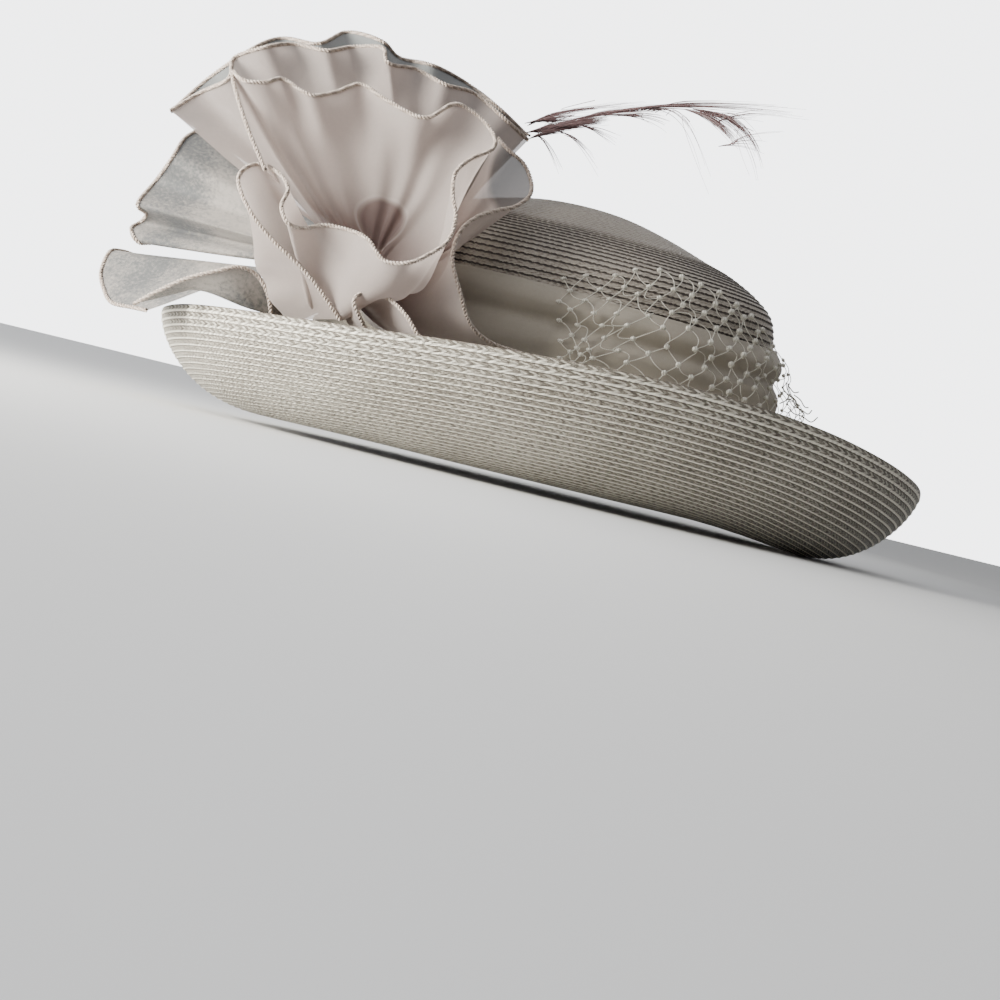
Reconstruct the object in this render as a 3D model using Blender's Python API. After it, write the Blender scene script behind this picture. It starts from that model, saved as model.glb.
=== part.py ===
# Dress hat in sewn straw braid: domed crown, upturned brim, draped cloth band, veiling net,
# and a flower of sheer organza ruffles with a thin feather.
# Metres, +Z up.  The front of the hat points to -X and the wearer's left to -Y.
# The origin is the centre of the head opening, on the surface that the brim rests on.

import math

import bmesh
import bpy
import numpy as np

# Head opening and straw
HEAD_LENGTH = 0.202
HEAD_WIDTH = 0.168
STRAW = 0.0016
GAP = 0.0003

# Crown
CROWN_HEIGHT = 0.125
CROWN_SWELL = 0.0024

# Brim
LEDGE = 0.010
BRIM_REACH = 0.077
RIM_HEIGHT = 0.050

# Band
BAND_LOW = 0.012
BAND_HIGH = 0.080
BAND_THICKNESS = 0.0018
BAND_FOLD = 0.0030

# Veiling net
NET_STRAND = 0.0010
NET_STANDOFF = 0.0017
NET_PUFF = 0.010
NET_COLUMNS = 21
NET_ROWS = 8
NET_SAMPLES = 60
NET_EDGE_DROP = 0.5

# Backing that carries the flower and the feather
BASE_ANGLE = -130.0
BASE_SEAT = 0.067
BASE_RADIUS = 0.0215
BASE_THICKNESS = 0.0025

# Flower of ruffles
ORGANZA = 0.0010
FLOWER_REACH = 0.150
FLOWER_DEPTH = 0.080
FLOWER_RISE = 0.120
FLOWER_STANDOFF = 0.003

# Feather
FEATHER_REACH = 0.117
FEATHER_RISE = 0.037
FEATHER_SPREAD = 0.022
FEATHER_THICKNESS = 0.0010
FEATHER_STEPS = 44
BARE_STEPS = 12
QUILL_WIDTH = 0.0030
QUILL_TAPER = 0.7
QUILL_ROOT = (-10.0, 0.98)
FEATHER_DRIFT = 0.05
SHORTEST_LOCK = 0.002

# Facets
CREASE_ANGLE = 40.0
CROWN_RINGS = 14
CROWN_COLUMNS = 36
BRIM_RINGS = 9
BRIM_COLUMNS = 44
BAND_RINGS = 9
BASE_COLUMNS = 20
RUFFLE_RINGS = 6
COLUMNS_PER_FOLD = 1.4

# Crown outline from its foot to its top, shares of the crown's height and of its half length
CROWN_PROFILE = [
    # height, reach
    (0.00, 0.977),
    (0.20, 0.995),
    (0.44, 0.975),
    (0.60, 0.952),
    (0.69, 0.935),
    (0.75, 0.907),
    (0.80, 0.840),
    (0.848, 0.735),
    (0.90, 0.570),
    (0.947, 0.400),
    (0.985, 0.210),
    (1.00, 0.000),
]

# Brim sections by the angle from the front, shares of the brim's reach and of the rim's height.
# Curl tells how far out the brim stays low before it turns up, dip how far it sags on the way
# below the head opening's edge.
BRIM_SECTIONS = [
    # angle, reach, height, curl, dip
    (0, 0.95, 0.66, 2.3, 0.05),
    (30, 0.955, 0.745, 2.2, 0.04),
    (60, 0.97, 0.83, 1.7, 0.01),
    (85, 0.985, 0.945, 1.6, 0.00),
    (110, 0.99, 1.00, 1.7, 0.00),
    (130, 1.00, 0.94, 1.9, 0.03),
    (145, 1.00, 0.84, 2.2, 0.09),
    (160, 1.00, 0.73, 2.6, 0.13),
    (180, 1.00, 0.62, 2.9, 0.13),
]

# Folds of the band from its lower edge to its upper, shares of its height and of the fold's depth
BAND_FOLDS = [
    # height, swell
    (0.00, 0.30),
    (0.10, 0.95),
    (0.24, 1.00),
    (0.36, 0.25),
    (0.50, 0.80),
    (0.62, 0.70),
    (0.70, 0.20),
    (0.85, 0.55),
    (1.00, 0.10),
]

# Edges of the veiling net round the crown, by the angle from the back of the hat.
# Low and high are shares of the crown's height, puff is a share of NET_PUFF.
NET_EDGES = [
    # angle, low, high, puff
    (-92, 0.34, 0.67, 0.00),
    (-81, 0.30, 0.73, 0.15),
    (-66, 0.29, 0.79, 0.35),
    (-48, 0.29, 0.77, 0.30),
    (-30, 0.30, 0.70, 0.20),
    (-14, 0.32, 0.60, 0.30),
    (0, 0.36, 0.52, 0.90),
    (10, 0.39, 0.48, 1.60),
]

# Ruffles.  Root angles run round the backing's middle, 0 towards the back of the hat and 90 up;
# the root's ring and the spread are shares of the backing's radius.
# Each hem row is one fold: its place from a point just off the backing in shares of the flower's
# reach (to the front), depth (to the wearer's left) and rise, then how far the cloth bellies
# between root and hem, in the same shares.
RUFFLES = {
    "ruffle_back": {"root": (146, 42), "ring": 1.04, "spread": 0.25, "hem": [
        # front, depth, rise, belly front, belly depth, belly rise
        (0.76, -0.29, 0.42, 0.00, 0.00, 0.00),
        (0.69, -0.49, 0.59, 0.02, -0.04, 0.02),
        (0.59, -0.34, 0.70, 0.02, 0.02, 0.02),
        (0.52, -0.66, 0.81, 0.02, -0.06, 0.02),
        (0.40, -0.44, 0.80, 0.02, 0.02, 0.02),
        (0.34, -0.76, 0.90, 0.01, -0.06, 0.02),
        (0.22, -0.49, 0.87, 0.00, 0.02, 0.02),
        (0.17, -0.74, 0.85, 0.00, -0.04, 0.04),
        (0.06, -0.51, 0.83, 0.00, 0.02, 0.04),
        (-0.05, -0.81, 0.82, -0.01, -0.04, 0.06),
        (-0.16, -0.56, 0.74, -0.02, 0.02, 0.06),
        (-0.26, -0.74, 0.68, -0.02, 0.00, 0.08),
    ]},
    "ruffle_middle": {"root": (146, 30), "ring": 0.84, "spread": 0.60, "hem": [
        (0.73, 0.06, 0.40, 0.02, 0.02, -0.02),
        (0.67, -0.09, 0.50, 0.02, 0.00, 0.00),
        (0.59, 0.06, 0.56, 0.02, 0.04, 0.00),
        (0.60, -0.09, 0.65, 0.02, 0.00, 0.00),
        (0.52, -0.01, 0.70, 0.02, 0.02, 0.00),
        (0.45, -0.24, 0.76, 0.02, -0.02, 0.00),
        (0.35, -0.09, 0.75, 0.01, 0.02, 0.00),
        (0.29, -0.34, 0.81, 0.00, -0.02, 0.00),
        (0.20, -0.21, 0.82, 0.00, 0.00, 0.00),
        (0.17, -0.09, 0.76, 0.00, 0.02, 0.00),
        (0.09, -0.29, 0.78, 0.00, -0.02, 0.02),
        (0.00, -0.16, 0.74, 0.00, 0.00, 0.02),
        (-0.09, -0.36, 0.75, 0.00, -0.02, 0.03),
        (-0.19, -0.26, 0.68, -0.01, 0.02, 0.04),
        (-0.27, -0.46, 0.64, -0.02, 0.02, 0.06),
    ]},
    "ruffle_cup": {"root": (176, -176), "ring": 0.36, "spread": 1.00, "hem": [
        (0.40, 0.49, 0.25, 0.02, 0.00, 0.04),
        (0.49, 0.41, 0.40, 0.04, 0.00, 0.02),
        (0.57, 0.24, 0.57, 0.05, 0.00, 0.00),
        (0.52, 0.36, 0.54, 0.06, 0.04, 0.00),
        (0.47, 0.36, 0.55, 0.05, 0.04, 0.00),
        (0.43, 0.21, 0.59, 0.03, 0.00, 0.00),
        (0.34, 0.31, 0.55, 0.02, 0.02, 0.00),
        (0.28, 0.19, 0.59, 0.01, -0.02, 0.00),
        (0.22, 0.06, 0.65, 0.00, -0.04, 0.00),
        (0.14, 0.16, 0.61, 0.00, -0.02, 0.00),
        (0.02, 0.26, 0.57, 0.00, 0.00, 0.00),
        (-0.06, 0.09, 0.66, -0.01, -0.02, 0.00),
        (-0.12, 0.06, 0.64, -0.02, -0.02, 0.00),
        (-0.18, 0.16, 0.58, -0.03, 0.00, 0.00),
        (-0.19, 0.29, 0.52, -0.04, 0.02, 0.00),
        (-0.14, 0.41, 0.46, -0.06, 0.02, 0.02),
        (-0.11, 0.51, 0.39, -0.07, 0.02, 0.04),
        (-0.12, 0.56, 0.31, -0.06, 0.04, 0.06),
        (-0.14, 0.59, 0.25, -0.05, 0.06, 0.08),
        (-0.14, 0.66, 0.16, -0.03, 0.08, 0.12),
        (-0.10, 0.76, 0.09, -0.02, 0.10, 0.15),
        (-0.05, 0.84, 0.04, -0.01, 0.12, 0.17),
        (0.01, 0.81, 0.03, 0.00, 0.10, 0.13),
        (0.07, 0.74, 0.09, 0.01, 0.06, 0.04),
        (0.13, 0.64, 0.11, 0.02, 0.02, -0.03),
        (0.20, 0.59, 0.11, 0.03, 0.00, -0.05),
        (0.25, 0.66, 0.08, 0.03, 0.02, -0.05),
        (0.29, 0.74, 0.08, 0.03, 0.04, -0.03),
        (0.32, 0.69, 0.13, 0.03, 0.02, 0.00),
        (0.32, 0.59, 0.20, 0.03, 0.00, 0.02),
        (0.36, 0.49, 0.25, 0.04, -0.04, 0.04),
        (0.42, 0.41, 0.27, 0.05, -0.06, 0.04),
        (0.45, 0.46, 0.25, 0.07, -0.04, 0.02),
        (0.46, 0.56, 0.19, 0.09, -0.02, 0.00),
        (0.40, 0.64, 0.09, 0.13, -0.02, -0.04),
        (0.33, 0.64, 0.02, 0.15, -0.02, -0.07),
        (0.21, 0.61, -0.07, 0.17, -0.04, -0.10),
        (0.10, 0.56, -0.19, 0.16, -0.06, -0.12),
    ]},
    "ruffle_right": {"root": (-78, 4), "ring": 0.60, "spread": 0.70, "hem": [
        (-0.41, 0.34, -0.15, 0.00, 0.06, -0.10),
        (-0.31, 0.44, -0.14, 0.00, 0.04, -0.08),
        (-0.25, 0.51, -0.10, 0.00, 0.02, -0.06),
        (-0.20, 0.59, 0.00, -0.02, 0.00, -0.04),
        (-0.16, 0.61, 0.10, -0.04, 0.00, -0.02),
        (-0.16, 0.56, 0.19, -0.06, -0.02, 0.02),
        (-0.19, 0.46, 0.26, -0.06, -0.02, 0.04),
        (-0.24, 0.34, 0.31, -0.05, 0.00, 0.06),
        (-0.29, 0.21, 0.35, -0.04, 0.02, 0.06),
        (-0.32, 0.09, 0.41, -0.04, 0.04, 0.05),
        (-0.31, -0.01, 0.47, -0.04, 0.06, 0.04),
        (-0.28, -0.04, 0.52, -0.04, 0.06, 0.03),
        (-0.23, 0.01, 0.55, -0.04, 0.06, 0.02),
        (-0.19, -0.06, 0.59, -0.03, 0.06, 0.02),
    ]},
    "ruffle_low": {"root": (-128, -88), "ring": 0.62, "spread": 0.70, "hem": [
        (0.01, 0.61, -0.22, 0.00, 0.00, -0.05),
        (0.05, 0.69, -0.16, 0.02, 0.00, -0.05),
        (0.07, 0.71, -0.12, 0.02, 0.00, -0.04),
        (0.05, 0.66, -0.08, 0.02, 0.00, -0.04),
        (0.02, 0.61, -0.07, 0.01, 0.00, -0.04),
        (-0.03, 0.66, -0.09, 0.00, 0.00, -0.04),
        (-0.08, 0.72, -0.13, 0.00, 0.00, -0.04),
        (-0.12, 0.74, -0.18, 0.00, 0.00, -0.04),
        (-0.18, 0.66, -0.23, 0.00, 0.00, -0.04),
    ]},
    "ruffle_side_low": {"root": (-136, -160), "ring": 0.66, "spread": 0.60, "hem": [
        (0.30, 0.24, -0.24, 0.02, 0.00, -0.05),
        (0.33, 0.27, -0.15, 0.02, 0.00, -0.10),
        (0.37, 0.28, -0.10, 0.02, 0.00, -0.14),
        (0.42, 0.33, -0.09, 0.02, 0.00, -0.15),
        (0.47, 0.36, -0.12, 0.01, 0.02, -0.14),
        (0.55, 0.34, -0.17, 0.00, 0.02, -0.10),
        (0.63, 0.28, -0.24, 0.00, 0.02, 0.00),
        (0.69, 0.22, -0.30, 0.00, 0.02, 0.05),
    ]},
    "ruffle_side_outer": {"root": (-158, -176), "ring": 0.86, "spread": 0.40, "hem": [
        (0.66, 0.10, -0.31, 0.00, 0.02, 0.08),
        (0.71, 0.00, -0.31, 0.00, 0.02, 0.08),
        (0.78, -0.09, -0.31, 0.00, 0.02, 0.07),
        (0.82, -0.19, -0.27, 0.00, 0.02, 0.04),
        (0.85, -0.29, -0.21, 0.00, 0.02, 0.02),
        (0.85, -0.39, -0.13, 0.00, 0.00, 0.00),
        (0.83, -0.54, -0.11, 0.00, 0.00, -0.01),
        (0.80, -0.69, -0.11, 0.00, 0.00, -0.01),
    ]},
    "ruffle_side_high": {"root": (178, 156), "ring": 0.95, "spread": 0.30, "hem": [
        (0.74, -0.41, -0.06, 0.00, 0.00, 0.00),
        (0.77, -0.31, -0.07, 0.00, 0.00, 0.00),
        (0.80, -0.36, -0.03, 0.00, 0.00, 0.00),
        (0.79, -0.49, 0.01, 0.00, 0.00, 0.00),
        (0.77, -0.39, 0.04, 0.00, 0.00, 0.00),
        (0.79, -0.26, 0.06, 0.00, 0.00, 0.00),
        (0.77, -0.44, 0.17, 0.00, 0.00, 0.00),
        (0.73, -0.34, 0.26, 0.00, 0.00, 0.00),
        (0.72, -0.49, 0.35, 0.00, 0.00, 0.00),
        (0.69, -0.64, 0.41, 0.00, 0.00, 0.00),
    ]},
}

# Feather, shares of its reach (towards the back) and its rise over the flower's shoulder, and how
# far its barbs spread on either side
FEATHER_SPINE = [
    # reach, rise, barbs
    (0.00, 0.00, 0.05),
    (0.12, 0.25, 0.30),
    (0.33, 0.55, 0.60),
    (0.55, 0.74, 0.85),
    (0.78, 0.87, 1.00),
    (0.92, 0.95, 0.60),
    (1.00, 1.00, 0.10),
]

# The feather's bare stem from the backing to the flower's shoulder: share of the way, then its
# bow to the back, to the wearer's left and up, in shares of the feather's rise
FEATHER_STEM = [
    # way, back, left, rise
    (0.00, 0.00, 0.00, 0.00),
    (0.00, 0.11, 0.06, 0.32),
    (0.50, 0.32, 0.38, 0.22),
]
FEATHER_SHOULDER = (-0.27, -0.60, 0.67)

# A lock of barbs lies back, out and down by these shares of its length and narrows to its tip
LOCK_BACK = 0.55
LOCK_OUT = 0.55
LOCK_DOWN = 0.45
LOCK_TIP = 0.25

COLOURS = {
    # colour, roughness
    "straw": ((0.42, 0.38, 0.32, 1.0), 0.62),
    "band_cloth": ((0.30, 0.27, 0.23, 1.0), 0.80),
    "net": ((0.62, 0.60, 0.54, 1.0), 0.55),
    "backing": ((0.36, 0.32, 0.30, 1.0), 0.85),
    "organza": ((0.47, 0.41, 0.39, 1.0), 0.50),
    "feather": ((0.09, 0.045, 0.045, 1.0), 0.60),
}


def clear_scene():
    for thing in list(bpy.data.objects):
        bpy.data.objects.remove(thing, do_unlink=True)


def material(name):
    colour, roughness = COLOURS[name]
    made = bpy.data.materials.new(name)
    made.use_nodes = True
    shader = made.node_tree.nodes["Principled BSDF"]
    shader.inputs["Base Color"].default_value = colour
    shader.inputs["Roughness"].default_value = roughness
    shader.inputs["Metallic"].default_value = 0.0
    return made


def curve_through(rows, count, places=3):
    # A smooth curve through table rows, spaced evenly along its first columns
    points = np.array(rows, dtype=float)
    steps = np.linalg.norm(np.diff(points[:, :places], axis=0), axis=1) ** 0.5
    knots = np.concatenate(([0.0], np.cumsum(steps)))
    slopes = np.gradient(points, knots, axis=0)
    fine = np.linspace(0.0, knots[-1], 24 * len(points))
    left = np.clip(np.searchsorted(knots, fine, side="right") - 1, 0, len(points) - 2)
    width = (knots[left + 1] - knots[left])[:, None]
    share = (fine - knots[left])[:, None] / width
    curve = ((2 * share**3 - 3 * share**2 + 1) * points[left]
             + (share**3 - 2 * share**2 + share) * width * slopes[left]
             + (3 * share**2 - 2 * share**3) * points[left + 1]
             + (share**3 - share**2) * width * slopes[left + 1])
    run = np.linalg.norm(np.diff(curve[:, :places], axis=0), axis=1)
    along = np.concatenate(([0.0], np.cumsum(run)))
    even = np.linspace(0.0, along[-1], count)
    return np.stack([np.interp(even, along, column) for column in curve.T], axis=1)


def oval(angle, out, scale=1.0):
    # A place on the head opening's oval, grown all round by out
    return np.array([
        scale * (HEAD_LENGTH / 2 + out) * math.cos(angle),
        scale * (HEAD_WIDTH / 2 + out) * math.sin(angle),
    ])


CROWN_FOOT = STRAW + GAP
PROFILE_CURVE = curve_through(CROWN_PROFILE, CROWN_RINGS, places=2)


def crown_point(angle, height, out=0.0):
    # A place on the crown's outer face at a share of its height, moved outwards by out
    reach = np.interp(height, PROFILE_CURVE[:, 0], PROFILE_CURVE[:, 1])
    flat = oval(angle, STRAW + CROWN_SWELL, reach) + oval(angle, out) - oval(angle, 0.0)
    return np.array([flat[0], flat[1], CROWN_FOOT + height * (CROWN_HEIGHT - CROWN_FOOT)])


def grid_mesh(name, grid, closed=False, pole=None):
    # Faces between neighbouring rows of points, with an optional closing point past the last row
    rows, columns = grid.shape[:2]
    points = [tuple(point) for row in grid for point in row]
    faces = []
    turns = columns if closed else columns - 1
    for row in range(rows - 1):
        for column in range(turns):
            across = (column + 1) % columns
            faces.append((row * columns + column, row * columns + across,
                          (row + 1) * columns + across, (row + 1) * columns + column))
    if pole is not None:
        points.append(tuple(pole))
        last = (rows - 1) * columns
        for column in range(turns):
            faces.append((last + column, last + (column + 1) % columns, len(points) - 1))
    mesh = bpy.data.meshes.new(name)
    mesh.from_pydata(points, [], faces)
    mesh.update()
    return mesh


def add_object(name, mesh, material_name):
    mesh.materials.append(MATERIALS[material_name])
    mesh.shade_smooth()
    mesh.set_sharp_from_angle(angle=math.radians(CREASE_ANGLE))
    made = bpy.data.objects.new(name, mesh)
    bpy.context.scene.collection.objects.link(made)
    return made


def thicken(made, thickness, side):
    # Gives a sheet its wall; side is 1 to keep the sheet as the inner face, -1 as the outer one
    wall = made.modifiers.new("wall", "SOLIDIFY")
    wall.thickness = thickness
    wall.offset = side
    wall.use_even_offset = side != 0
    return made


def build_crown():
    angles = np.linspace(0.0, 2 * math.pi, CROWN_COLUMNS, endpoint=False)
    heights = PROFILE_CURVE[:-1, 0]
    grid = np.array([[crown_point(angle, height) for angle in angles] for height in heights])
    mesh = grid_mesh("crown", grid, closed=True, pole=crown_point(0.0, 1.0))
    return thicken(add_object("crown", mesh, "straw"), STRAW, -1)


def brim_section(angle):
    # Reach, height, curl and dip of the brim at an angle measured from the back
    from_front = 180.0 - abs(math.degrees(math.atan2(math.sin(angle), math.cos(angle))))
    table = np.array(BRIM_SECTIONS, dtype=float)
    return [smooth_between(from_front, table[:, 0], column) for column in table.T[1:]]


def smooth_between(at, places, values):
    # Reads a short table with level ends and no corners at its rows
    slopes = np.gradient(values, places)
    slopes[0] = slopes[-1] = 0.0
    left = int(np.clip(np.searchsorted(places, at, side="right") - 1, 0, len(places) - 2))
    width = places[left + 1] - places[left]
    share = (at - places[left]) / width
    return ((2 * share**3 - 3 * share**2 + 1) * values[left]
            + (share**3 - 2 * share**2 + share) * width * slopes[left]
            + (3 * share**2 - 2 * share**3) * values[left + 1]
            + (share**3 - share**2) * width * slopes[left + 1])


RIM_STEEPNESS = 1.2


def brim_point(angle, sweep):
    # Underside of the brim: sweep runs from 0 at the ledge's outer edge to 1 at the rim
    reach, height, curl, dip = brim_section(angle)
    turn = sweep * math.pi / 2
    across = math.sin(turn) ** (2 / curl)
    out = LEDGE + (BRIM_REACH * reach - LEDGE) * across
    up = height * (1 - max(math.cos(turn), 0.0) ** RIM_STEEPNESS)
    return np.array([*oval(angle, out), RIM_HEIGHT * (up - dip * math.sin(math.pi * across))])


def build_brim():
    angles = np.linspace(0.0, 2 * math.pi, BRIM_COLUMNS, endpoint=False)
    rings = [[np.array([*oval(angle, out), 0.0]) for angle in angles] for out in (0.0, LEDGE)]
    sweeps = np.linspace(0.0, 1.0, BRIM_RINGS)[1:]
    rings += [[brim_point(angle, sweep) for angle in angles] for sweep in sweeps]
    mesh = grid_mesh("brim", np.array(rings), closed=True)
    return thicken(add_object("brim", mesh, "straw"), STRAW, -1)


def band_out(share):
    # How far the band's outer face stands off the crown at a share of the band's height
    table = np.array(BAND_FOLDS)
    swell = smooth_between(share, table[:, 0], table[:, 1])
    return GAP + BAND_THICKNESS + BAND_FOLD * swell


def crown_share(height):
    return (height - CROWN_FOOT) / (CROWN_HEIGHT - CROWN_FOOT)


def build_hat_band():
    angles = np.linspace(0.0, 2 * math.pi, CROWN_COLUMNS, endpoint=False)
    low = crown_share(BAND_LOW)
    high = crown_share(BAND_HIGH)
    rings = []
    for share in np.linspace(0.0, 1.0, BAND_RINGS):
        height = low + share * (high - low)
        rings.append([crown_point(angle, height, band_out(share)) for angle in angles])
    between = [height for height in PROFILE_CURVE[:, 0] if low < height < high]
    for height in [high, *between[::-1], low]:
        rings.append([crown_point(angle, height, GAP) for angle in angles])
    rings.append(rings[0])
    grid = np.array(rings)
    mesh = grid_mesh("hat_band", grid, closed=True)
    shell = bmesh.new()
    shell.from_mesh(mesh)
    bmesh.ops.remove_doubles(shell, verts=shell.verts, dist=1e-6)
    bmesh.ops.recalc_face_normals(shell, faces=shell.faces)
    shell.to_mesh(mesh)
    shell.free()
    return add_object("hat_band", mesh, "band_cloth")


def outermost(angle, height, margin):
    # The outside of the crown and band together at a share of the crown's height
    low = crown_share(BAND_LOW)
    high = crown_share(BAND_HIGH)
    above = crown_share(BAND_HIGH + 2 * BAND_FOLD)
    cover = np.clip((above - height) / crown_share(3 * BAND_FOLD), 0, 1)
    share = float(np.clip((height - low) / (high - low), 0.0, 1.0))
    return crown_point(angle, height, margin + cover * band_out(share))


def net_point(along, across):
    # A place on the net by its shares along and across
    rows = curve_through(NET_EDGES, NET_SAMPLES, places=1)
    places = np.linspace(0, 1, NET_SAMPLES)
    angle, low, high, puff = [np.interp(along, places, column) for column in rows.T]
    height = low + across * (high - low)
    lift = NET_STANDOFF + NET_PUFF * puff * (1 - (2 * across - 1) ** 2 * NET_EDGE_DROP)
    return outermost(math.radians(angle), height, lift)


def build_veil():
    # Diamonds: every second crossing of a close grid carries a knot
    points = {}
    for column in range(NET_COLUMNS):
        for row in range(NET_ROWS):
            if (column + row) % 2 == 0:
                points[(column, row)] = len(points)
    places = [tuple(net_point(column / (NET_COLUMNS - 1), row / (NET_ROWS - 1)))
              for column, row in points]
    faces = []
    for column in range(1, NET_COLUMNS - 1):
        for row in range(1, NET_ROWS - 1):
            if (column + row) % 2:
                corners = [(column - 1, row), (column, row - 1), (column + 1, row), (column, row + 1)]
                faces.append([points[corner] for corner in corners])
    mesh = bpy.data.meshes.new("veil")
    mesh.from_pydata(places, [], faces)
    mesh.update()
    loose = bmesh.new()
    loose.from_mesh(mesh)
    bmesh.ops.delete(loose, geom=[v for v in loose.verts if not v.link_faces], context="VERTS")
    loose.to_mesh(mesh)
    loose.free()
    made = add_object("veil", mesh, "net")
    strands = made.modifiers.new("strands", "WIREFRAME")
    strands.thickness = NET_STRAND
    strands.use_replace = True
    strands.use_boundary = True
    strands.use_even_offset = False
    return made


def base_point(turn, ring, out=0.0):
    # A place on the backing: turn runs round its middle, ring is a share of its radius
    middle = math.radians(BASE_ANGLE)
    round_crown = math.hypot(*oval(middle, STRAW + CROWN_SWELL))
    angle = middle + ring * BASE_RADIUS * math.cos(turn) / round_crown
    height = crown_share(BASE_SEAT + ring * BASE_RADIUS * math.sin(turn))
    seat = crown_point(angle, min(height, crown_share(BAND_HIGH)), base_inner() + out)
    return seat + rise_past_band(height)


def rise_past_band(height):
    # The backing goes on straight up where it stands above the band
    over = max(height - crown_share(BAND_HIGH), 0.0)
    return np.array([0.0, 0.0, over * (CROWN_HEIGHT - CROWN_FOOT)])


def base_inner():
    return GAP + BAND_THICKNESS + BAND_FOLD + GAP


def base_outward():
    middle = math.radians(BASE_ANGLE)
    away = oval(middle, 0.001) - oval(middle, 0.0)
    return np.array([*(away / np.linalg.norm(away)), 0.0])


def build_flower_base():
    turns = np.linspace(0.0, 2 * math.pi, BASE_COLUMNS, endpoint=False)
    rings = [[base_point(turn, ring) for turn in turns] for ring in (1.0, 0.5)]
    mesh = grid_mesh("flower_base", np.array(rings), closed=True, pole=base_point(0.0, 0.0))
    return thicken(add_object("flower_base", mesh, "backing"), BASE_THICKNESS, 1)


def flower_place(front, depth, rise):
    anchor = base_point(0.0, 0.0, BASE_THICKNESS + FLOWER_STANDOFF)
    return anchor + np.array([-front * FLOWER_REACH, -depth * FLOWER_DEPTH, rise * FLOWER_RISE])


def ruffle_grid(spec, columns, rings):
    # Points of a ruffle from its gathers on the backing to its hem
    hem = curve_through(spec["hem"], columns)
    start, end = spec["root"]
    grid = []
    for step, row in enumerate(hem):
        turn = math.radians(start + (end - start) * step / (columns - 1))
        root = base_point(turn, spec["ring"], BASE_THICKNESS + GAP + ORGANZA / 2)
        away = root + base_outward() * spec["spread"] * BASE_RADIUS
        edge = flower_place(*row[:3])
        belly = (away + edge) / 2 + flower_place(*row[3:]) - flower_place(0.0, 0.0, 0.0)
        grid.append(curve_through([root, away, belly, edge], rings))
    return np.array(grid).transpose(1, 0, 2)


def build_ruffle(name, spec):
    columns = 8 + int(COLUMNS_PER_FOLD * len(spec["hem"]))
    mesh = grid_mesh(name, ruffle_grid(spec, columns, RUFFLE_RINGS))
    return thicken(add_object(name, mesh, "organza"), ORGANZA, 0)


def feather_spine():
    # The quill's line with the barbs' share of their spread as a fourth column
    turn, ring = QUILL_ROOT
    foot = base_point(math.radians(turn), ring, BASE_THICKNESS + GAP + 1.5 * FEATHER_THICKNESS)
    shoulder = flower_place(*FEATHER_SHOULDER)
    stem = [(*(foot + way * (shoulder - foot) + FEATHER_RISE * np.array([back, -left, up])), 0.0)
            for way, back, left, up in FEATHER_STEM]
    run = [(*(shoulder + np.array([reach * FEATHER_REACH, -FEATHER_DRIFT * reach * FEATHER_REACH,
                                   up * FEATHER_RISE])), barbs) for reach, up, barbs in FEATHER_SPINE]
    return curve_through(stem + run, FEATHER_STEPS)


def build_feather():
    # A flat quill from the backing over the crown, with barbs in flat locks on both sides
    spine = feather_spine()
    points = []
    faces = []
    for step, row in enumerate(spine):
        half = QUILL_WIDTH / 2 * (1.0 - QUILL_TAPER * step / len(spine))
        points.append((row[0], row[1] - half, row[2]))
        points.append((row[0], row[1] + half, row[2]))
        if step:
            faces.append((2 * step - 2, 2 * step, 2 * step + 1, 2 * step - 1))
    for step in range(BARE_STEPS, len(spine) - 1, 2):
        length = FEATHER_SPREAD * spine[step][3]
        if length > SHORTEST_LOCK:
            for side, sign in ((0, -1.0), (1, 1.0)):
                tip = len(points)
                near = np.array(points[2 * step + side])
                far = np.array(points[2 * step + 2 + side])
                reach = length * np.array([LOCK_BACK, sign * LOCK_OUT, -LOCK_DOWN])
                points.append(tuple(near + reach))
                points.append(tuple(near + LOCK_TIP * (far - near) + reach))
                corners = [2 * step + side, tip, tip + 1, 2 * step + 2 + side]
                faces.append(tuple(corners if side == 0 else corners[::-1]))
    mesh = bpy.data.meshes.new("feather")
    mesh.from_pydata(points, [], faces)
    mesh.update()
    return thicken(add_object("feather", mesh, "feather"), FEATHER_THICKNESS, 0)


clear_scene()
MATERIALS = {name: material(name) for name in COLOURS}
build_crown()
build_brim()
build_hat_band()
build_veil()
build_flower_base()
for ruffle_name, ruffle_spec in RUFFLES.items():
    build_ruffle(ruffle_name, ruffle_spec)
build_feather()
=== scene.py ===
import math

import bpy
import numpy as np
from mathutils import Matrix, Vector


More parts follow.
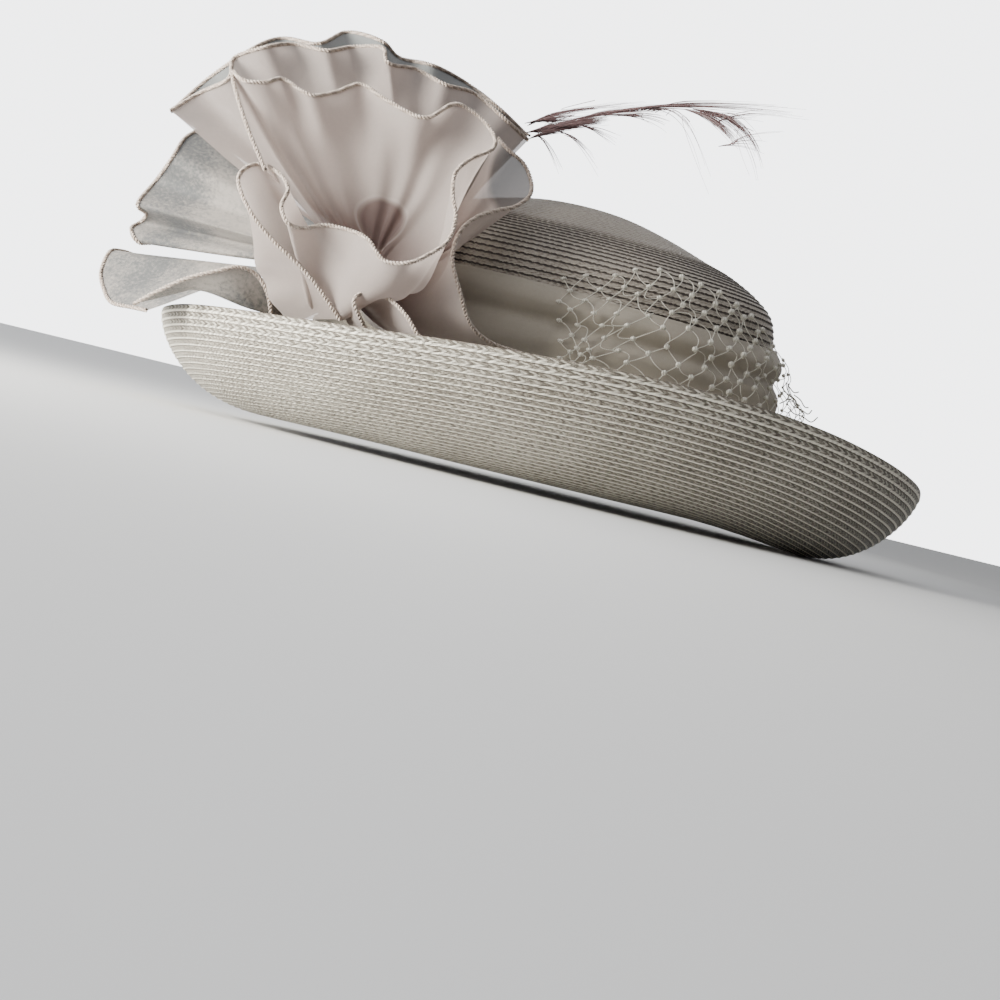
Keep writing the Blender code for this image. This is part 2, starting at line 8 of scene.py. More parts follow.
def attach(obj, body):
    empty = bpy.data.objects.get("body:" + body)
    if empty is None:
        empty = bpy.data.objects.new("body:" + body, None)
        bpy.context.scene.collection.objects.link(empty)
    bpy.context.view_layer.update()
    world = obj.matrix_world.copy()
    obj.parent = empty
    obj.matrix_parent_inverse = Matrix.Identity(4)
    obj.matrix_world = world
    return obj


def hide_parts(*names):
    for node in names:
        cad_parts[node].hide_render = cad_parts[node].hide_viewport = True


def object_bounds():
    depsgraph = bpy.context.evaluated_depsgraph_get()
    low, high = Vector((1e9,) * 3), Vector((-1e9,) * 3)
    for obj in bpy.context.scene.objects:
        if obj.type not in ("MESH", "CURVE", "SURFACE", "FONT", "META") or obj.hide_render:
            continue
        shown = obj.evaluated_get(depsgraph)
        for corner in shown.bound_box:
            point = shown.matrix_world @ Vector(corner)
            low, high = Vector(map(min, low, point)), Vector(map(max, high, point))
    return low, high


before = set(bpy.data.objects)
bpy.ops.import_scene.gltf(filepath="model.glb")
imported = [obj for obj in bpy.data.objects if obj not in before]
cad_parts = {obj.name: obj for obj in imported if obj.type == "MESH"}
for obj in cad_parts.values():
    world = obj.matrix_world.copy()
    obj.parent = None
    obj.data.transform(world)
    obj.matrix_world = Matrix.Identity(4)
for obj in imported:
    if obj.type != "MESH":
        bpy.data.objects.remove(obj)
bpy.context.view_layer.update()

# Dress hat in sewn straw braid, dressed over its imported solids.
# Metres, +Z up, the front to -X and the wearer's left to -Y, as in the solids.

# Sizes shared with the solids
HEAD_LENGTH = 0.202
HEAD_WIDTH = 0.168
STRAW = 0.0016
GAP = 0.0003
CROWN_HEIGHT = 0.125
CROWN_SWELL = 0.0024
CROWN_FOOT = STRAW + GAP
LEDGE = 0.010
BRIM_REACH = 0.077
RIM_HEIGHT = 0.050
RIM_STEEPNESS = 1.2
BAND_LOW = 0.012
BAND_HIGH = 0.080
BAND_THICKNESS = 0.0018
BAND_FOLD = 0.0030
NET_STANDOFF = 0.0017
NET_PUFF = 0.010
NET_COLUMNS = 33
NET_ROWS = 11
BASE_ANGLE = -130.0
BASE_SEAT = 0.067
BASE_RADIUS = 0.0215
BASE_THICKNESS = 0.0025
ORGANZA = 0.0010
FLOWER_REACH = 0.150
FLOWER_DEPTH = 0.080
FLOWER_RISE = 0.120
FLOWER_STANDOFF = 0.003
FEATHER_REACH = 0.117
FEATHER_RISE = 0.037

# Braid: its rows and points, how far a row is raised, and the crown's flatter rows at its top
BRIM_ROWS = 31
CROWN_ROWS = 42
ROW_STEPS = (0.0, 0.05, 0.13, 0.24, 0.55, 0.93)
INSIDE_ROW_STEPS = (0.0, 0.07, 0.25, 0.92)
ROW_RELIEF = 0.00070
PLAIT_LENGTH = 0.0052
SEAM_ANGLE = 1.75
BRIM_COLUMNS = 288
BRIM_SAMPLES = 160
CROWN_COLUMNS = 240
CROWN_FLAT_ROWS = 20.0
CROWN_UNDERLAP = 0.012
INSIDE_COLUMNS = 120
INSIDE_ROWS = 64

# Band: its points, the width that its folds take up, the lip of its main fold with the share of the
# band's width that the lip lies at, and the places round it that have a ring of points
BAND_COLUMNS = 260
BAND_RINGS = 72
BAND_LEDGE = 0.0014
LEDGE_SHARE = 0.53
LEDGE_RINGS = 0.533 + np.array([-0.012, -0.007, -0.003, 0.001, 0.005, 0.010])

# Ruffles: points, the width of a gather, and how far from the backing the gathered cloth is dark,
# from its layers and from painted shade
RUFFLE_RINGS = 40
RUFFLE_CELL = 0.0022
GATHER_WIDTH = 0.011
GATHER_START = 0.018
GATHER_END = 0.055
# How much of a ruffle's length its waves are evened out over, and up to which share of it
CALM = {"ruffle_cup": (0.06, 0.50), "ruffle_middle": (0.08, 1.1), "ruffle_back": (0.08, 1.1)}
# The front petals' skirt: from and to which share of the cup's hem, how far out and how far down
SKIRT = (0.43, 0.79, 0.004, 0.029)
# The painted shade in the cup's deep throat and the right ruffle's spot of painted shade, a dark
# backdrop as if seen through the sheer cloth, each with a painted highlight round its rim: middle
# and half size across and down the cloth, in metres
THROAT_SHADE = ((0.160, 0.037), (0.043, 0.0125))
RIGHT_SHADE_SPOT = ((0.139, 0.067), (0.020, 0.016))

# Net: where along and across it is gathered, and how far it is drawn in there
NET_GATHER = (0.08, 0.27)
NET_PULL = 0.75
NET_STEPS = 60
STRAND_POINTS = 9
END_POINTS = 24

# Hems, net and feather
HEM_RADIUS = 0.00088
HEM_TWIST = 0.0030
HEM_STEPS = 6
NET_RADIUS = 0.00019
NET_END_RADIUS = 0.0003
KNOT_RADIUS = 0.00086
KNOT_LENGTH = 0.0026
BARB_RADIUS = 0.00017
STEM_RADIUS = 0.0006

# The photo's view: distance, the place it looks at, its tilt, and the width it spans there
CAMERA_DISTANCE = 1.100
CAMERA_X = -0.0058
CAMERA_Z = 0.012
AIM_Z = -0.015
CAMERA_ROLL = 13.7
VIEW_WIDTH = 0.460
SENSOR = 36.0

# The floor's grey from the left to the right, a painted falloff of light: where the fade starts and
# ends, and both greys
FLOOR_PAINTED_FALLOFF = ((-0.20, 0.74), (0.34, 0.27))

STUDIO_LIGHT = [
    # axis, where it starts, where it ends, brightness before, brightness after
    (0, -0.7, 0.6, 1.0, 0.0),
    (1, -0.2, -0.9, None, 0.12),
    (2, 0.30, 0.85, None, 1.0),
    (1, 0.86, 0.94, None, 4.5),
]

LAMP_TARGET = (0.0, 0.0, 0.05)
LAMPS = [
    # name, place, size, power, colour
    ("key", (-0.76, -0.42, 0.17), 0.42, 29.0, (1.0, 0.985, 0.92)),
    ("fill", (-0.5, -1.3, 1.4), 1.2, 5.0, (0.97, 0.97, 1.0)),
]

CROWN_PROFILE = [
    # height, reach
    (0.00, 0.977),
    (0.20, 0.995),
    (0.44, 0.975),
    (0.60, 0.952),
    (0.69, 0.935),
    (0.75, 0.907),
    (0.80, 0.840),
    (0.848, 0.735),
    (0.90, 0.570),
    (0.947, 0.400),
    (0.985, 0.210),
    (1.00, 0.000),
]

BRIM_SECTIONS = [
    # angle, reach, height, curl, dip
    (0, 0.95, 0.66, 2.3, 0.05),
    (30, 0.955, 0.745, 2.2, 0.04),
    (60, 0.97, 0.83, 1.7, 0.01),
    (85, 0.985, 0.945, 1.6, 0.00),
    (110, 0.99, 1.00, 1.7, 0.00),
    (130, 1.00, 0.94, 1.9, 0.03),
    (145, 1.00, 0.84, 2.2, 0.09),
    (160, 1.00, 0.73, 2.6, 0.13),
    (180, 1.00, 0.62, 2.9, 0.13),
]

BAND_FOLDS = [
    # height, swell
    (0.00, 0.30),
    (0.10, 0.95),
    (0.24, 1.00),
    (0.36, 0.65),
    (0.50, 0.75),
    (0.62, 0.85),
    (0.71, 0.75),
    (0.785, 0.05),
    (0.84, 0.65),
    (0.89, 1.00),
    (0.95, 0.60),
    (1.00, 0.00),
]

NET_EDGES = [
    # angle, low, high, puff
    (-92, 0.34, 0.67, 0.00),
    (-81, 0.30, 0.73, 0.15),
    (-66, 0.29, 0.79, 0.35),
    (-48, 0.29, 0.77, 0.30),
    (-30, 0.30, 0.70, 0.20),
    (-14, 0.32, 0.60, 0.30),
    (0, 0.36, 0.52, 0.90),
    (10, 0.39, 0.48, 1.60),
]

# The net's loose ends: how far back and how far up from its gathered end each one bends
NET_ENDS = [
    [(-0.0081, 0.0030), (-0.0048, 0.0010), (-0.0005, 0.0006), (0.0042, -0.0010),
     (0.0064, 0.0018)],
    [(-0.0100, 0.0064), (-0.0070, 0.0066), (-0.0048, 0.0045), (-0.0030, 0.0054)],
    [(-0.0120, 0.0100), (-0.0095, 0.0085), (-0.0100, 0.0060), (-0.0125, 0.0038)],
    [(-0.0070, 0.0094), (-0.0035, 0.0078), (-0.0005, 0.0050), (0.0012, 0.0052)],
    [(-0.0105, 0.0128), (-0.0072, 0.0104), (-0.0050, 0.0112)],
    [(-0.0060, 0.0040), (-0.0020, 0.0034), (0.0016, 0.0022), (0.0030, 0.0044)],
]

RUFFLES = {
    # root from, root to, ring, spread
    "ruffle_back": (146, 42, 1.04, 0.25),
    "ruffle_middle": (146, 30, 0.84, 0.60),
    "ruffle_cup": (176, -176, 0.36, 1.00),
    "ruffle_right": (-78, 4, 0.60, 0.70),
    "ruffle_low": (-128, -88, 0.62, 0.70),
    "ruffle_side_low": (-136, -160, 0.66, 0.60),
    "ruffle_side_outer": (-158, -176, 0.86, 0.40),
    "ruffle_side_high": (178, 156, 0.95, 0.30),
}

# Each ruffle's hem, one row for a fold
HEMS = {}
HEMS["ruffle_back"] = [
    # front, depth, rise, belly front, belly depth, belly rise
    (0.76, -0.29, 0.42, 0, 0, 0),
    (0.69, -0.49, 0.59, 0.02, -0.04, 0.02),
    (0.59, -0.34, 0.70, 0.02, 0.02, 0.02),
    (0.52, -0.66, 0.81, 0.02, -0.06, 0.02),
    (0.40, -0.44, 0.80, 0.02, 0.02, 0.02),
    (0.34, -0.76, 0.90, 0.01, -0.06, 0.02),
    (0.22, -0.49, 0.87, 0, 0.02, 0.02),
    (0.17, -0.74, 0.85, 0, -0.04, 0.04),
    (0.06, -0.51, 0.83, 0, 0.02, 0.04),
    (-0.05, -0.81, 0.82, -0.01, -0.04, 0.06),
    (-0.16, -0.56, 0.74, -0.02, 0.02, 0.06),
    (-0.26, -0.74, 0.68, -0.02, 0, 0.08),
]
HEMS["ruffle_middle"] = [
    (0.73, 0.06, 0.40, 0.02, 0.02, -0.02),
    (0.67, -0.09, 0.50, 0.02, 0, 0),
    (0.59, 0.06, 0.56, 0.02, 0.04, 0),
    (0.60, -0.09, 0.65, 0.02, 0, 0),
    (0.52, -0.01, 0.70, 0.02, 0.02, 0),
    (0.45, -0.24, 0.76, 0.02, -0.02, 0),
    (0.35, -0.09, 0.75, 0.01, 0.02, 0),
    (0.29, -0.34, 0.81, 0, -0.02, 0),
    (0.20, -0.21, 0.82, 0, 0, 0),
    (0.17, -0.09, 0.76, 0, 0.02, 0),
    (0.09, -0.29, 0.78, 0, -0.02, 0.02),
    (0, -0.16, 0.74, 0, 0, 0.02),
    (-0.09, -0.36, 0.75, 0, -0.02, 0.03),
    (-0.19, -0.26, 0.68, -0.01, 0.02, 0.04),
    (-0.27, -0.46, 0.64, -0.02, 0.02, 0.06),
]
HEMS["ruffle_cup"] = [
    (0.40, 0.49, 0.25, 0.02, 0, 0.04),
    (0.49, 0.41, 0.40, 0.04, 0, 0.02),
    (0.57, 0.24, 0.57, 0.05, 0, 0),
    (0.52, 0.36, 0.54, 0.06, 0.04, 0),
    (0.47, 0.36, 0.55, 0.05, 0.04, 0),
    (0.43, 0.21, 0.59, 0.03, 0, 0),
    (0.34, 0.31, 0.55, 0.02, 0.02, 0),
    (0.28, 0.19, 0.59, 0.01, -0.02, 0),
    (0.22, 0.06, 0.65, 0, -0.04, 0),
    (0.14, 0.16, 0.61, 0, -0.02, 0),
    (0.02, 0.26, 0.57, 0, 0, 0),
    (-0.06, 0.09, 0.66, -0.01, -0.02, 0),
    (-0.12, 0.06, 0.64, -0.02, -0.02, 0),
    (-0.18, 0.16, 0.58, -0.03, 0, 0),
    (-0.19, 0.29, 0.52, -0.04, 0.02, 0),
    (-0.14, 0.41, 0.46, -0.06, 0.02, 0.02),
    (-0.11, 0.51, 0.39, -0.07, 0.02, 0.04),
    (-0.12, 0.56, 0.31, -0.06, 0.04, 0.06),
    (-0.14, 0.59, 0.25, -0.05, 0.06, 0.08),
    (-0.14, 0.66, 0.16, -0.03, 0.08, 0.12),
    (-0.10, 0.76, 0.09, -0.02, 0.10, 0.15),
    (-0.05, 0.84, 0.04, -0.01, 0.12, 0.17),
    (0.01, 0.81, 0.03, 0, 0.10, 0.13),
    (0.07, 0.74, 0.09, 0.01, 0.06, 0.04),
    (0.13, 0.64, 0.11, 0.02, 0.02, -0.03),
    (0.20, 0.59, 0.11, 0.03, 0, -0.05),
    (0.25, 0.66, 0.08, 0.03, 0.02, -0.05),
    (0.29, 0.74, 0.08, 0.03, 0.04, -0.03),
    (0.32, 0.69, 0.13, 0.03, 0.02, 0),
    (0.32, 0.59, 0.20, 0.03, 0, 0.02),
    (0.36, 0.49, 0.25, 0.04, -0.04, 0.04),
    (0.42, 0.41, 0.27, 0.05, -0.06, 0.04),
    (0.45, 0.46, 0.25, 0.07, -0.04, 0.02),
    (0.46, 0.56, 0.19, 0.09, -0.02, 0),
    (0.40, 0.64, 0.09, 0.13, -0.02, -0.04),
    (0.33, 0.64, 0.02, 0.15, -0.02, -0.07),
    (0.21, 0.61, -0.07, 0.17, -0.04, -0.10),
    (0.10, 0.56, -0.19, 0.16, -0.06, -0.12),
]
HEMS["ruffle_right"] = [
    (-0.41, 0.34, -0.15, 0, 0.06, -0.10),
    (-0.31, 0.44, -0.14, 0, 0.04, -0.08),
    (-0.25, 0.51, -0.10, 0, 0.02, -0.06),
    (-0.20, 0.59, 0, -0.02, 0, -0.04),
    (-0.16, 0.61, 0.10, -0.04, 0, -0.02),
    (-0.16, 0.56, 0.19, -0.06, -0.02, 0.02),
    (-0.19, 0.46, 0.26, -0.06, -0.02, 0.04),
    (-0.24, 0.34, 0.31, -0.05, 0, 0.06),
    (-0.29, 0.21, 0.35, -0.04, 0.02, 0.06),
    (-0.32, 0.09, 0.41, -0.04, 0.04, 0.05),
    (-0.31, -0.01, 0.47, -0.04, 0.06, 0.04),
    (-0.28, -0.04, 0.52, -0.04, 0.06, 0.03),
    (-0.23, 0.01, 0.55, -0.04, 0.06, 0.02),
    (-0.19, -0.06, 0.59, -0.03, 0.06, 0.02),
]
HEMS["ruffle_low"] = [
    (0.01, 0.61, -0.22, 0, 0, -0.05),
    (0.05, 0.69, -0.16, 0.02, 0, -0.05),
    (0.07, 0.71, -0.12, 0.02, 0, -0.04),
    (0.05, 0.66, -0.08, 0.02, 0, -0.04),
    (0.02, 0.61, -0.07, 0.01, 0, -0.04),
    (-0.03, 0.66, -0.09, 0, 0, -0.04),
    (-0.08, 0.72, -0.13, 0, 0, -0.04),
    (-0.12, 0.74, -0.18, 0, 0, -0.04),
    (-0.18, 0.66, -0.23, 0, 0, -0.04),
]
HEMS["ruffle_side_low"] = [
    (0.30, 0.24, -0.24, 0.02, 0, -0.05),
    (0.33, 0.27, -0.15, 0.02, 0, -0.10),
    (0.37, 0.28, -0.10, 0.02, 0, -0.14),
    (0.42, 0.33, -0.09, 0.02, 0, -0.15),
    (0.47, 0.36, -0.12, 0.01, 0.02, -0.14),
    (0.55, 0.34, -0.17, 0, 0.02, -0.10),
    (0.63, 0.28, -0.24, 0, 0.02, 0),
    (0.69, 0.22, -0.30, 0, 0.02, 0.05),
]
HEMS["ruffle_side_outer"] = [
    (0.66, 0.10, -0.31, 0, 0.02, 0.08),
    (0.71, 0, -0.31, 0, 0.02, 0.08),
    (0.78, -0.09, -0.31, 0, 0.02, 0.07),
    (0.82, -0.19, -0.27, 0, 0.02, 0.04),
    (0.85, -0.29, -0.21, 0, 0.02, 0.02),
    (0.85, -0.39, -0.13, 0, 0, 0),
    (0.83, -0.54, -0.11, 0, 0, -0.01),
    (0.80, -0.69, -0.11, 0, 0, -0.01),
]
HEMS["ruffle_side_high"] = [
    (0.74, -0.41, -0.06, 0, 0, 0),
    (0.77, -0.31, -0.07, 0, 0, 0),
    (0.80, -0.36, -0.03, 0, 0, 0),
    (0.79, -0.49, 0.01, 0, 0, 0),
    (0.77, -0.39, 0.04, 0, 0, 0),
    (0.79, -0.26, 0.06, 0, 0, 0),
    (0.77, -0.44, 0.17, 0, 0, 0),
    (0.73, -0.34, 0.26, 0, 0, 0),
    (0.72, -0.49, 0.35, 0, 0, 0),
    (0.69, -0.64, 0.41, 0, 0, 0),
]

# Locks of barbs: where each starts, bends and ends, as shares of the feather's reach and rise,
# how many barbs it has and how far they spread, as a share of the rise
FEATHER_LOCKS = [
    # start reach, start rise, bend reach, bend rise, end reach, end rise, barbs, spread
    (-0.02, 0.02, 0.05, 0.12, 0.14, 0.26, 120, 0.07),
    (0.00, 0.04, 0.12, 0.22, 0.27, 0.42, 240, 0.06),
    (-0.02, 0.10, 0.10, 0.36, 0.37, 0.66, 24, 0.05),
    (-0.03, 0.13, 0.06, 0.25, 0.17, 0.36, 70, 0.05),
    (0.00, -0.04, 0.07, 0.09, 0.16, 0.22, 70, 0.05),
    (0.11, 0.25, 0.27, 0.49, 0.47, 0.71, 60, 0.05),
    (0.27, 0.49, 0.58, 0.82, 0.98, 1.03, 34, 0.08),
    (0.55, 0.75, 0.67, 0.70, 0.78, 0.51, 80, 0.07),
    (0.58, 0.78, 0.77, 0.71, 0.89, 0.29, 40, 0.14),
    (0.41, 0.63, 0.56, 0.62, 0.70, 0.03, 9, 0.09),
    (0.02, 0.04, 0.09, -0.12, 0.17, -0.48, 8, 0.11),
    (0.09, 0.14, 0.19, 0.05, 0.29, -0.22, 9, 0.11),
    (0.17, 0.27, 0.25, 0.24, 0.33, 0.16, 14, 0.09),
    (0.28, 0.47, 0.42, 0.55, 0.51, 0.51, 16, 0.08),
    (0.68, 0.69, 0.78, 0.86, 0.92, 0.95, 10, 0.10),
    (0.71, 0.41, 0.81, 0.53, 0.93, 0.55, 9, 0.16),
]

FEATHER_SHOULDER = (-0.27, -0.60, 0.67)

RNG = np.random.default_rng(11)
TURN = 2 * math.pi


def unit(vectors):
    return vectors / np.maximum(np.linalg.norm(vectors, axis=-1, keepdims=True), 1e-12)


def run_along(line):
    # How far along a line each of its points lies
    return np.concatenate(([0.0], np.cumsum(np.linalg.norm(np.diff(line, axis=0), axis=1))))


def read_along(line, run, at):
    # Points of a line at given lengths along it
    return np.stack([np.interp(at, run, column) for column in line.T], axis=1)


def eased(values, slopes, places, at):
    # Reads rows that lie at places with a cubic that keeps their slopes
    left = np.clip(np.searchsorted(places, at, side="right") - 1, 0, len(places) - 2)
    width = places[left + 1] - places[left]
    share = (at - places[left]) / width
    if np.ndim(values) > 1:
        width, share = width[:, None], share[:, None]
    return ((2 * share**3 - 3 * share**2 + 1) * values[left]
            + (share**3 - 2 * share**2 + share) * width * slopes[left]
            + (3 * share**2 - 2 * share**3) * values[left + 1]
            + (share**3 - share**2) * width * slopes[left + 1])


def curve_through(rows, count, places=3):
    # A smooth curve through table rows, spaced evenly along its first columns
    points = np.array(rows, dtype=float)
    steps = np.linalg.norm(np.diff(points[:, :places], axis=0), axis=1) ** 0.5
    knots = np.concatenate(([0.0], np.cumsum(steps)))
    slopes = np.gradient(points, knots, axis=0)
    fine = np.linspace(0.0, knots[-1], 24 * len(points))
    return evenly(eased(points, slopes, knots, fine), count, places)


def evenly(curve, count, places=3):
    # The same line with its points spaced evenly
    run = run_along(curve[:, :places])
    return read_along(curve, run, np.linspace(0.0, run[-1], count))


def smooth_between(at, places, values):
    # Reads a short table with level ends and no corners at its rows
    slopes = np.gradient(values, places)
    slopes[0] = slopes[-1] = 0.0
    return eased(values, slopes, places, at)


def turn_steps(count):
    return np.linspace(0.0, TURN, count, endpoint=False)


def show(name, data):
    # A new object in the scene
    made = bpy.data.objects.new(name, data)
    bpy.context.scene.collection.objects.link(made)
    return made


def oval(angle, out):
    # Places on the head opening's oval, grown all round by out
    return np.stack([(HEAD_LENGTH / 2 + out) * np.cos(angle),
                     (HEAD_WIDTH / 2 + out) * np.sin(angle)], axis=-1)


PROFILE_CURVE = curve_through(CROWN_PROFILE, 400, places=2)


def crown_point(angle, height, out=0.0):
    # Places on the crown's outer face at a share of its height, moved outwards by out
    angle, height, out = np.broadcast_arrays(angle, height, out)
    reach = np.interp(height, PROFILE_CURVE[:, 0], PROFILE_CURVE[:, 1])[..., None]
    flat = reach * oval(angle, STRAW + CROWN_SWELL) + oval(angle, out) - oval(angle, 0.0)
    rise = CROWN_FOOT + height * (CROWN_HEIGHT - CROWN_FOOT)
    return np.concatenate([flat, rise[..., None]], axis=-1)


def crown_share(height):
    return (height - CROWN_FOOT) / (CROWN_HEIGHT - CROWN_FOOT)


def brim_section(angle):
    # Underside of the brim at one angle, from the head opening's edge to the rim
    from_front = 180.0 - abs(math.degrees(math.atan2(math.sin(angle), math.cos(angle))))
    table = np.array(BRIM_SECTIONS, dtype=float)
    reach, height, curl, dip = [smooth_between(from_front, table[:, 0], column)
                                for column in table.T[1:]]
    turn = np.linspace(0.0, 1.0, BRIM_SAMPLES) ** 1.3 * math.pi / 2
    across = np.sin(turn) ** (2 / curl)
    out = LEDGE + (BRIM_REACH * reach - LEDGE) * across
    up = height * (1 - np.maximum(np.cos(turn), 0.0) ** RIM_STEEPNESS)
    rise = RIM_HEIGHT * (up - dip * np.sin(math.pi * across))
    return np.concatenate([[[*oval(angle, 0.0), 0.0]],
                           np.column_stack([oval(angle, out), rise])])


def raised(grid, relief, closed=True):
    # Moves a grid's points out along its normals; rows run up and columns run round the hat
    if closed:
        around = np.roll(grid, -1, axis=1) - np.roll(grid, 1, axis=1)
    else:
        around = np.gradient(grid, axis=1)
    return grid + unit(np.cross(around, np.gradient(grid, axis=0))) * relief


def mesh_piece(name, points, faces, uv, material):
    # A mesh from arrays of points and of faces, with uv for each corner of each face
    mesh = bpy.data.meshes.new(name)
    mesh.from_pydata(points.tolist(), [], faces.tolist())
    layer = mesh.uv_layers.new(name="cloth")
    layer.data.foreach_set("uv", uv.astype(np.float32).ravel())
    mesh.update()
    mesh.shade_smooth()
    mesh.materials.append(material)
    piece = show(name, mesh)
    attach(piece, "root")
    return piece


def quads(steps, turns, rows, columns):
    # The corners of a grid's cells, and its faces, which wrap round past the last row or column
    row, column = np.meshgrid(np.arange(steps), np.arange(turns), indexing="ij")
    corners = [(row, column), (row, column + 1), (row + 1, column + 1), (row + 1, column)]
    faces = [down % rows * columns + along % columns for down, along in corners]
    return corners, np.stack(faces, axis=-1).reshape(-1, 4)


def grid_piece(name, grid, u, v, material, closed=False, looped=False):
    # A sheet from a grid of points; u and v give each point's place in the cloth.  A grid closed
    # round the hat has one more column of u than of points, a looped one has one more row of v.
    rows, columns = grid.shape[:2]
    corners, faces = quads(rows if looped else rows - 1, columns if closed else columns - 1,
                           rows, columns)
    u, v = np.broadcast_arrays(u, v)
    uv = np.stack([np.stack([u[corner], v[corner]], axis=-1) for corner in corners], axis=2)
    return mesh_piece(name, grid.reshape(-1, 3), faces, uv, material)


def across_line(line):
    # Two directions across a line at each of its points
    tangent = unit(np.gradient(line, axis=0))
    side = unit(np.cross(tangent, [0.21, 0.94, 0.27]))
    return side, np.cross(tangent, side)


def tubes(lines, sides=6):
    # Points, faces and corner uv of round strands; each line has columns x, y, z and radius
    points, faces, uv = [], [], []
    turns = np.arange(sides) * TURN / sides
    start = 0
    for line in lines:
        side, over = across_line(line[:, :3])
        ring = (np.cos(turns)[None, :, None] * side[:, None]
                + np.sin(turns)[None, :, None] * over[:, None])
        points.append((line[:, None, :3] + line[:, None, 3:4] * ring).reshape(-1, 3))
        along = run_along(line[:, :3])
        corners, cells = quads(len(line) - 1, sides, len(line), sides)
        faces.append(start + cells)
        places = [np.stack([along[step], turn / sides], axis=-1) for step, turn in corners]
        uv.append(np.stack(places, axis=2).reshape(-1, 4, 2))
        start += len(points[-1])
    return np.concatenate(points), np.concatenate(faces), np.concatenate(uv)


class Shade:
    # Builds one material's nodes with short calls
    def __init__(self, name, roughness, sheen=0.0, alpha=1.0):
        self.material = bpy.data.materials.new(name)
        self.material.use_nodes = True
        self.tree = self.material.node_tree
        self.shader = self.tree.nodes["Principled BSDF"]
        for socket, value in (("Roughness", roughness), ("Sheen Weight", sheen),
                              ("Specular IOR Level", 0.35), ("Alpha", alpha)):
            self.shader.inputs[socket].default_value = value

    def node(self, kind, inputs=(), **settings):
        made = self.tree.nodes.new(kind)
        for key, value in settings.items():
            setattr(made, key, value)
        for index, value in enumerate(inputs):
            self.put(made.inputs[index], value)
        return made

    def put(self, socket, value):
        if isinstance(value, bpy.types.NodeSocket):
            self.tree.links.new(value, socket)
        elif value is not None:
            socket.default_value = value

    def math(self, operation, first, second=None, third=None):
        made = self.node("ShaderNodeMath", (first, second, third), operation=operation)
        return made.outputs[0]

    def times(self, first, second):
        return self.math("MULTIPLY", first, second)

    def scaled(self, value, factor, added):
        return self.math("MULTIPLY_ADD", value, factor, added)

    def waves(self, value, count):
        return self.math("SINE", self.times(value, TURN * count))

    def cloth(self):
        place = self.node("ShaderNodeUVMap", uv_map="cloth").outputs[0]
        made = self.node("ShaderNodeSeparateXYZ", (place,))
        return made.outputs[0], made.outputs[1]

    def noise(self, scale, stretch=(1.0, 1.0, 1.0), detail=3.0, along_cloth=False):
        if along_cloth:
            place = self.node("ShaderNodeUVMap", uv_map="cloth").outputs[0]
        else:
            place = self.node("ShaderNodeTexCoord").outputs["Object"]
        moved = self.node("ShaderNodeMapping", (place, None, None, stretch))
        made = self.node("ShaderNodeTexNoise", noise_dimensions="3D")
        self.put(made.inputs["Vector"], moved.outputs[0])
        made.inputs["Scale"].default_value = scale
        made.inputs["Detail"].default_value = detail
        return made.outputs[0]

    def between(self, value, low, high):
        # 0 below low, 1 above high and smooth between them
        made = self.node("ShaderNodeMapRange", (value, low, high, 0.0, 1.0),
                         interpolation_type="SMOOTHSTEP")
        return made.outputs[0]

    def colours(self, share, *stops):
        made = self.node("ShaderNodeValToRGB", (share,))
        ramp = made.color_ramp
        while len(ramp.elements) < len(stops):
            ramp.elements.new(0.5)
        for element, (place, colour) in zip(ramp.elements, stops):
            element.position = place
            element.color = (*colour, 1.0)
        return made.outputs[0]

    def tint(self, base, share, colour):
        # The colour laid over base by a share
        made = self.node("ShaderNodeMix", data_type="RGBA", blend_type="MIX")
        self.put(made.inputs[0], share)
        self.put(made.inputs[6], base)
        self.put(made.inputs[7], (*colour, 1.0))
        return made.outputs[2]

    def colour(self, socket):
        self.put(self.shader.inputs["Base Color"], socket)

    def let_through(self, colour, share):
        # Light that comes through the cloth from behind
        glow = self.node("ShaderNodeBsdfTranslucent", (colour,))
        mixed = self.node("ShaderNodeMixShader", (share, self.shader.outputs[0], glow.outputs[0]))
        self.put(self.tree.nodes["Material Output"].inputs["Surface"], mixed.outputs[0])

    def bump(self, height, depth):
        made = self.node("ShaderNodeBump")
        made.inputs["Strength"].default_value = 1.0
        made.inputs["Distance"].default_value = depth
        self.put(made.inputs["Height"], height)
        self.put(self.shader.inputs["Normal"], made.outputs[0])


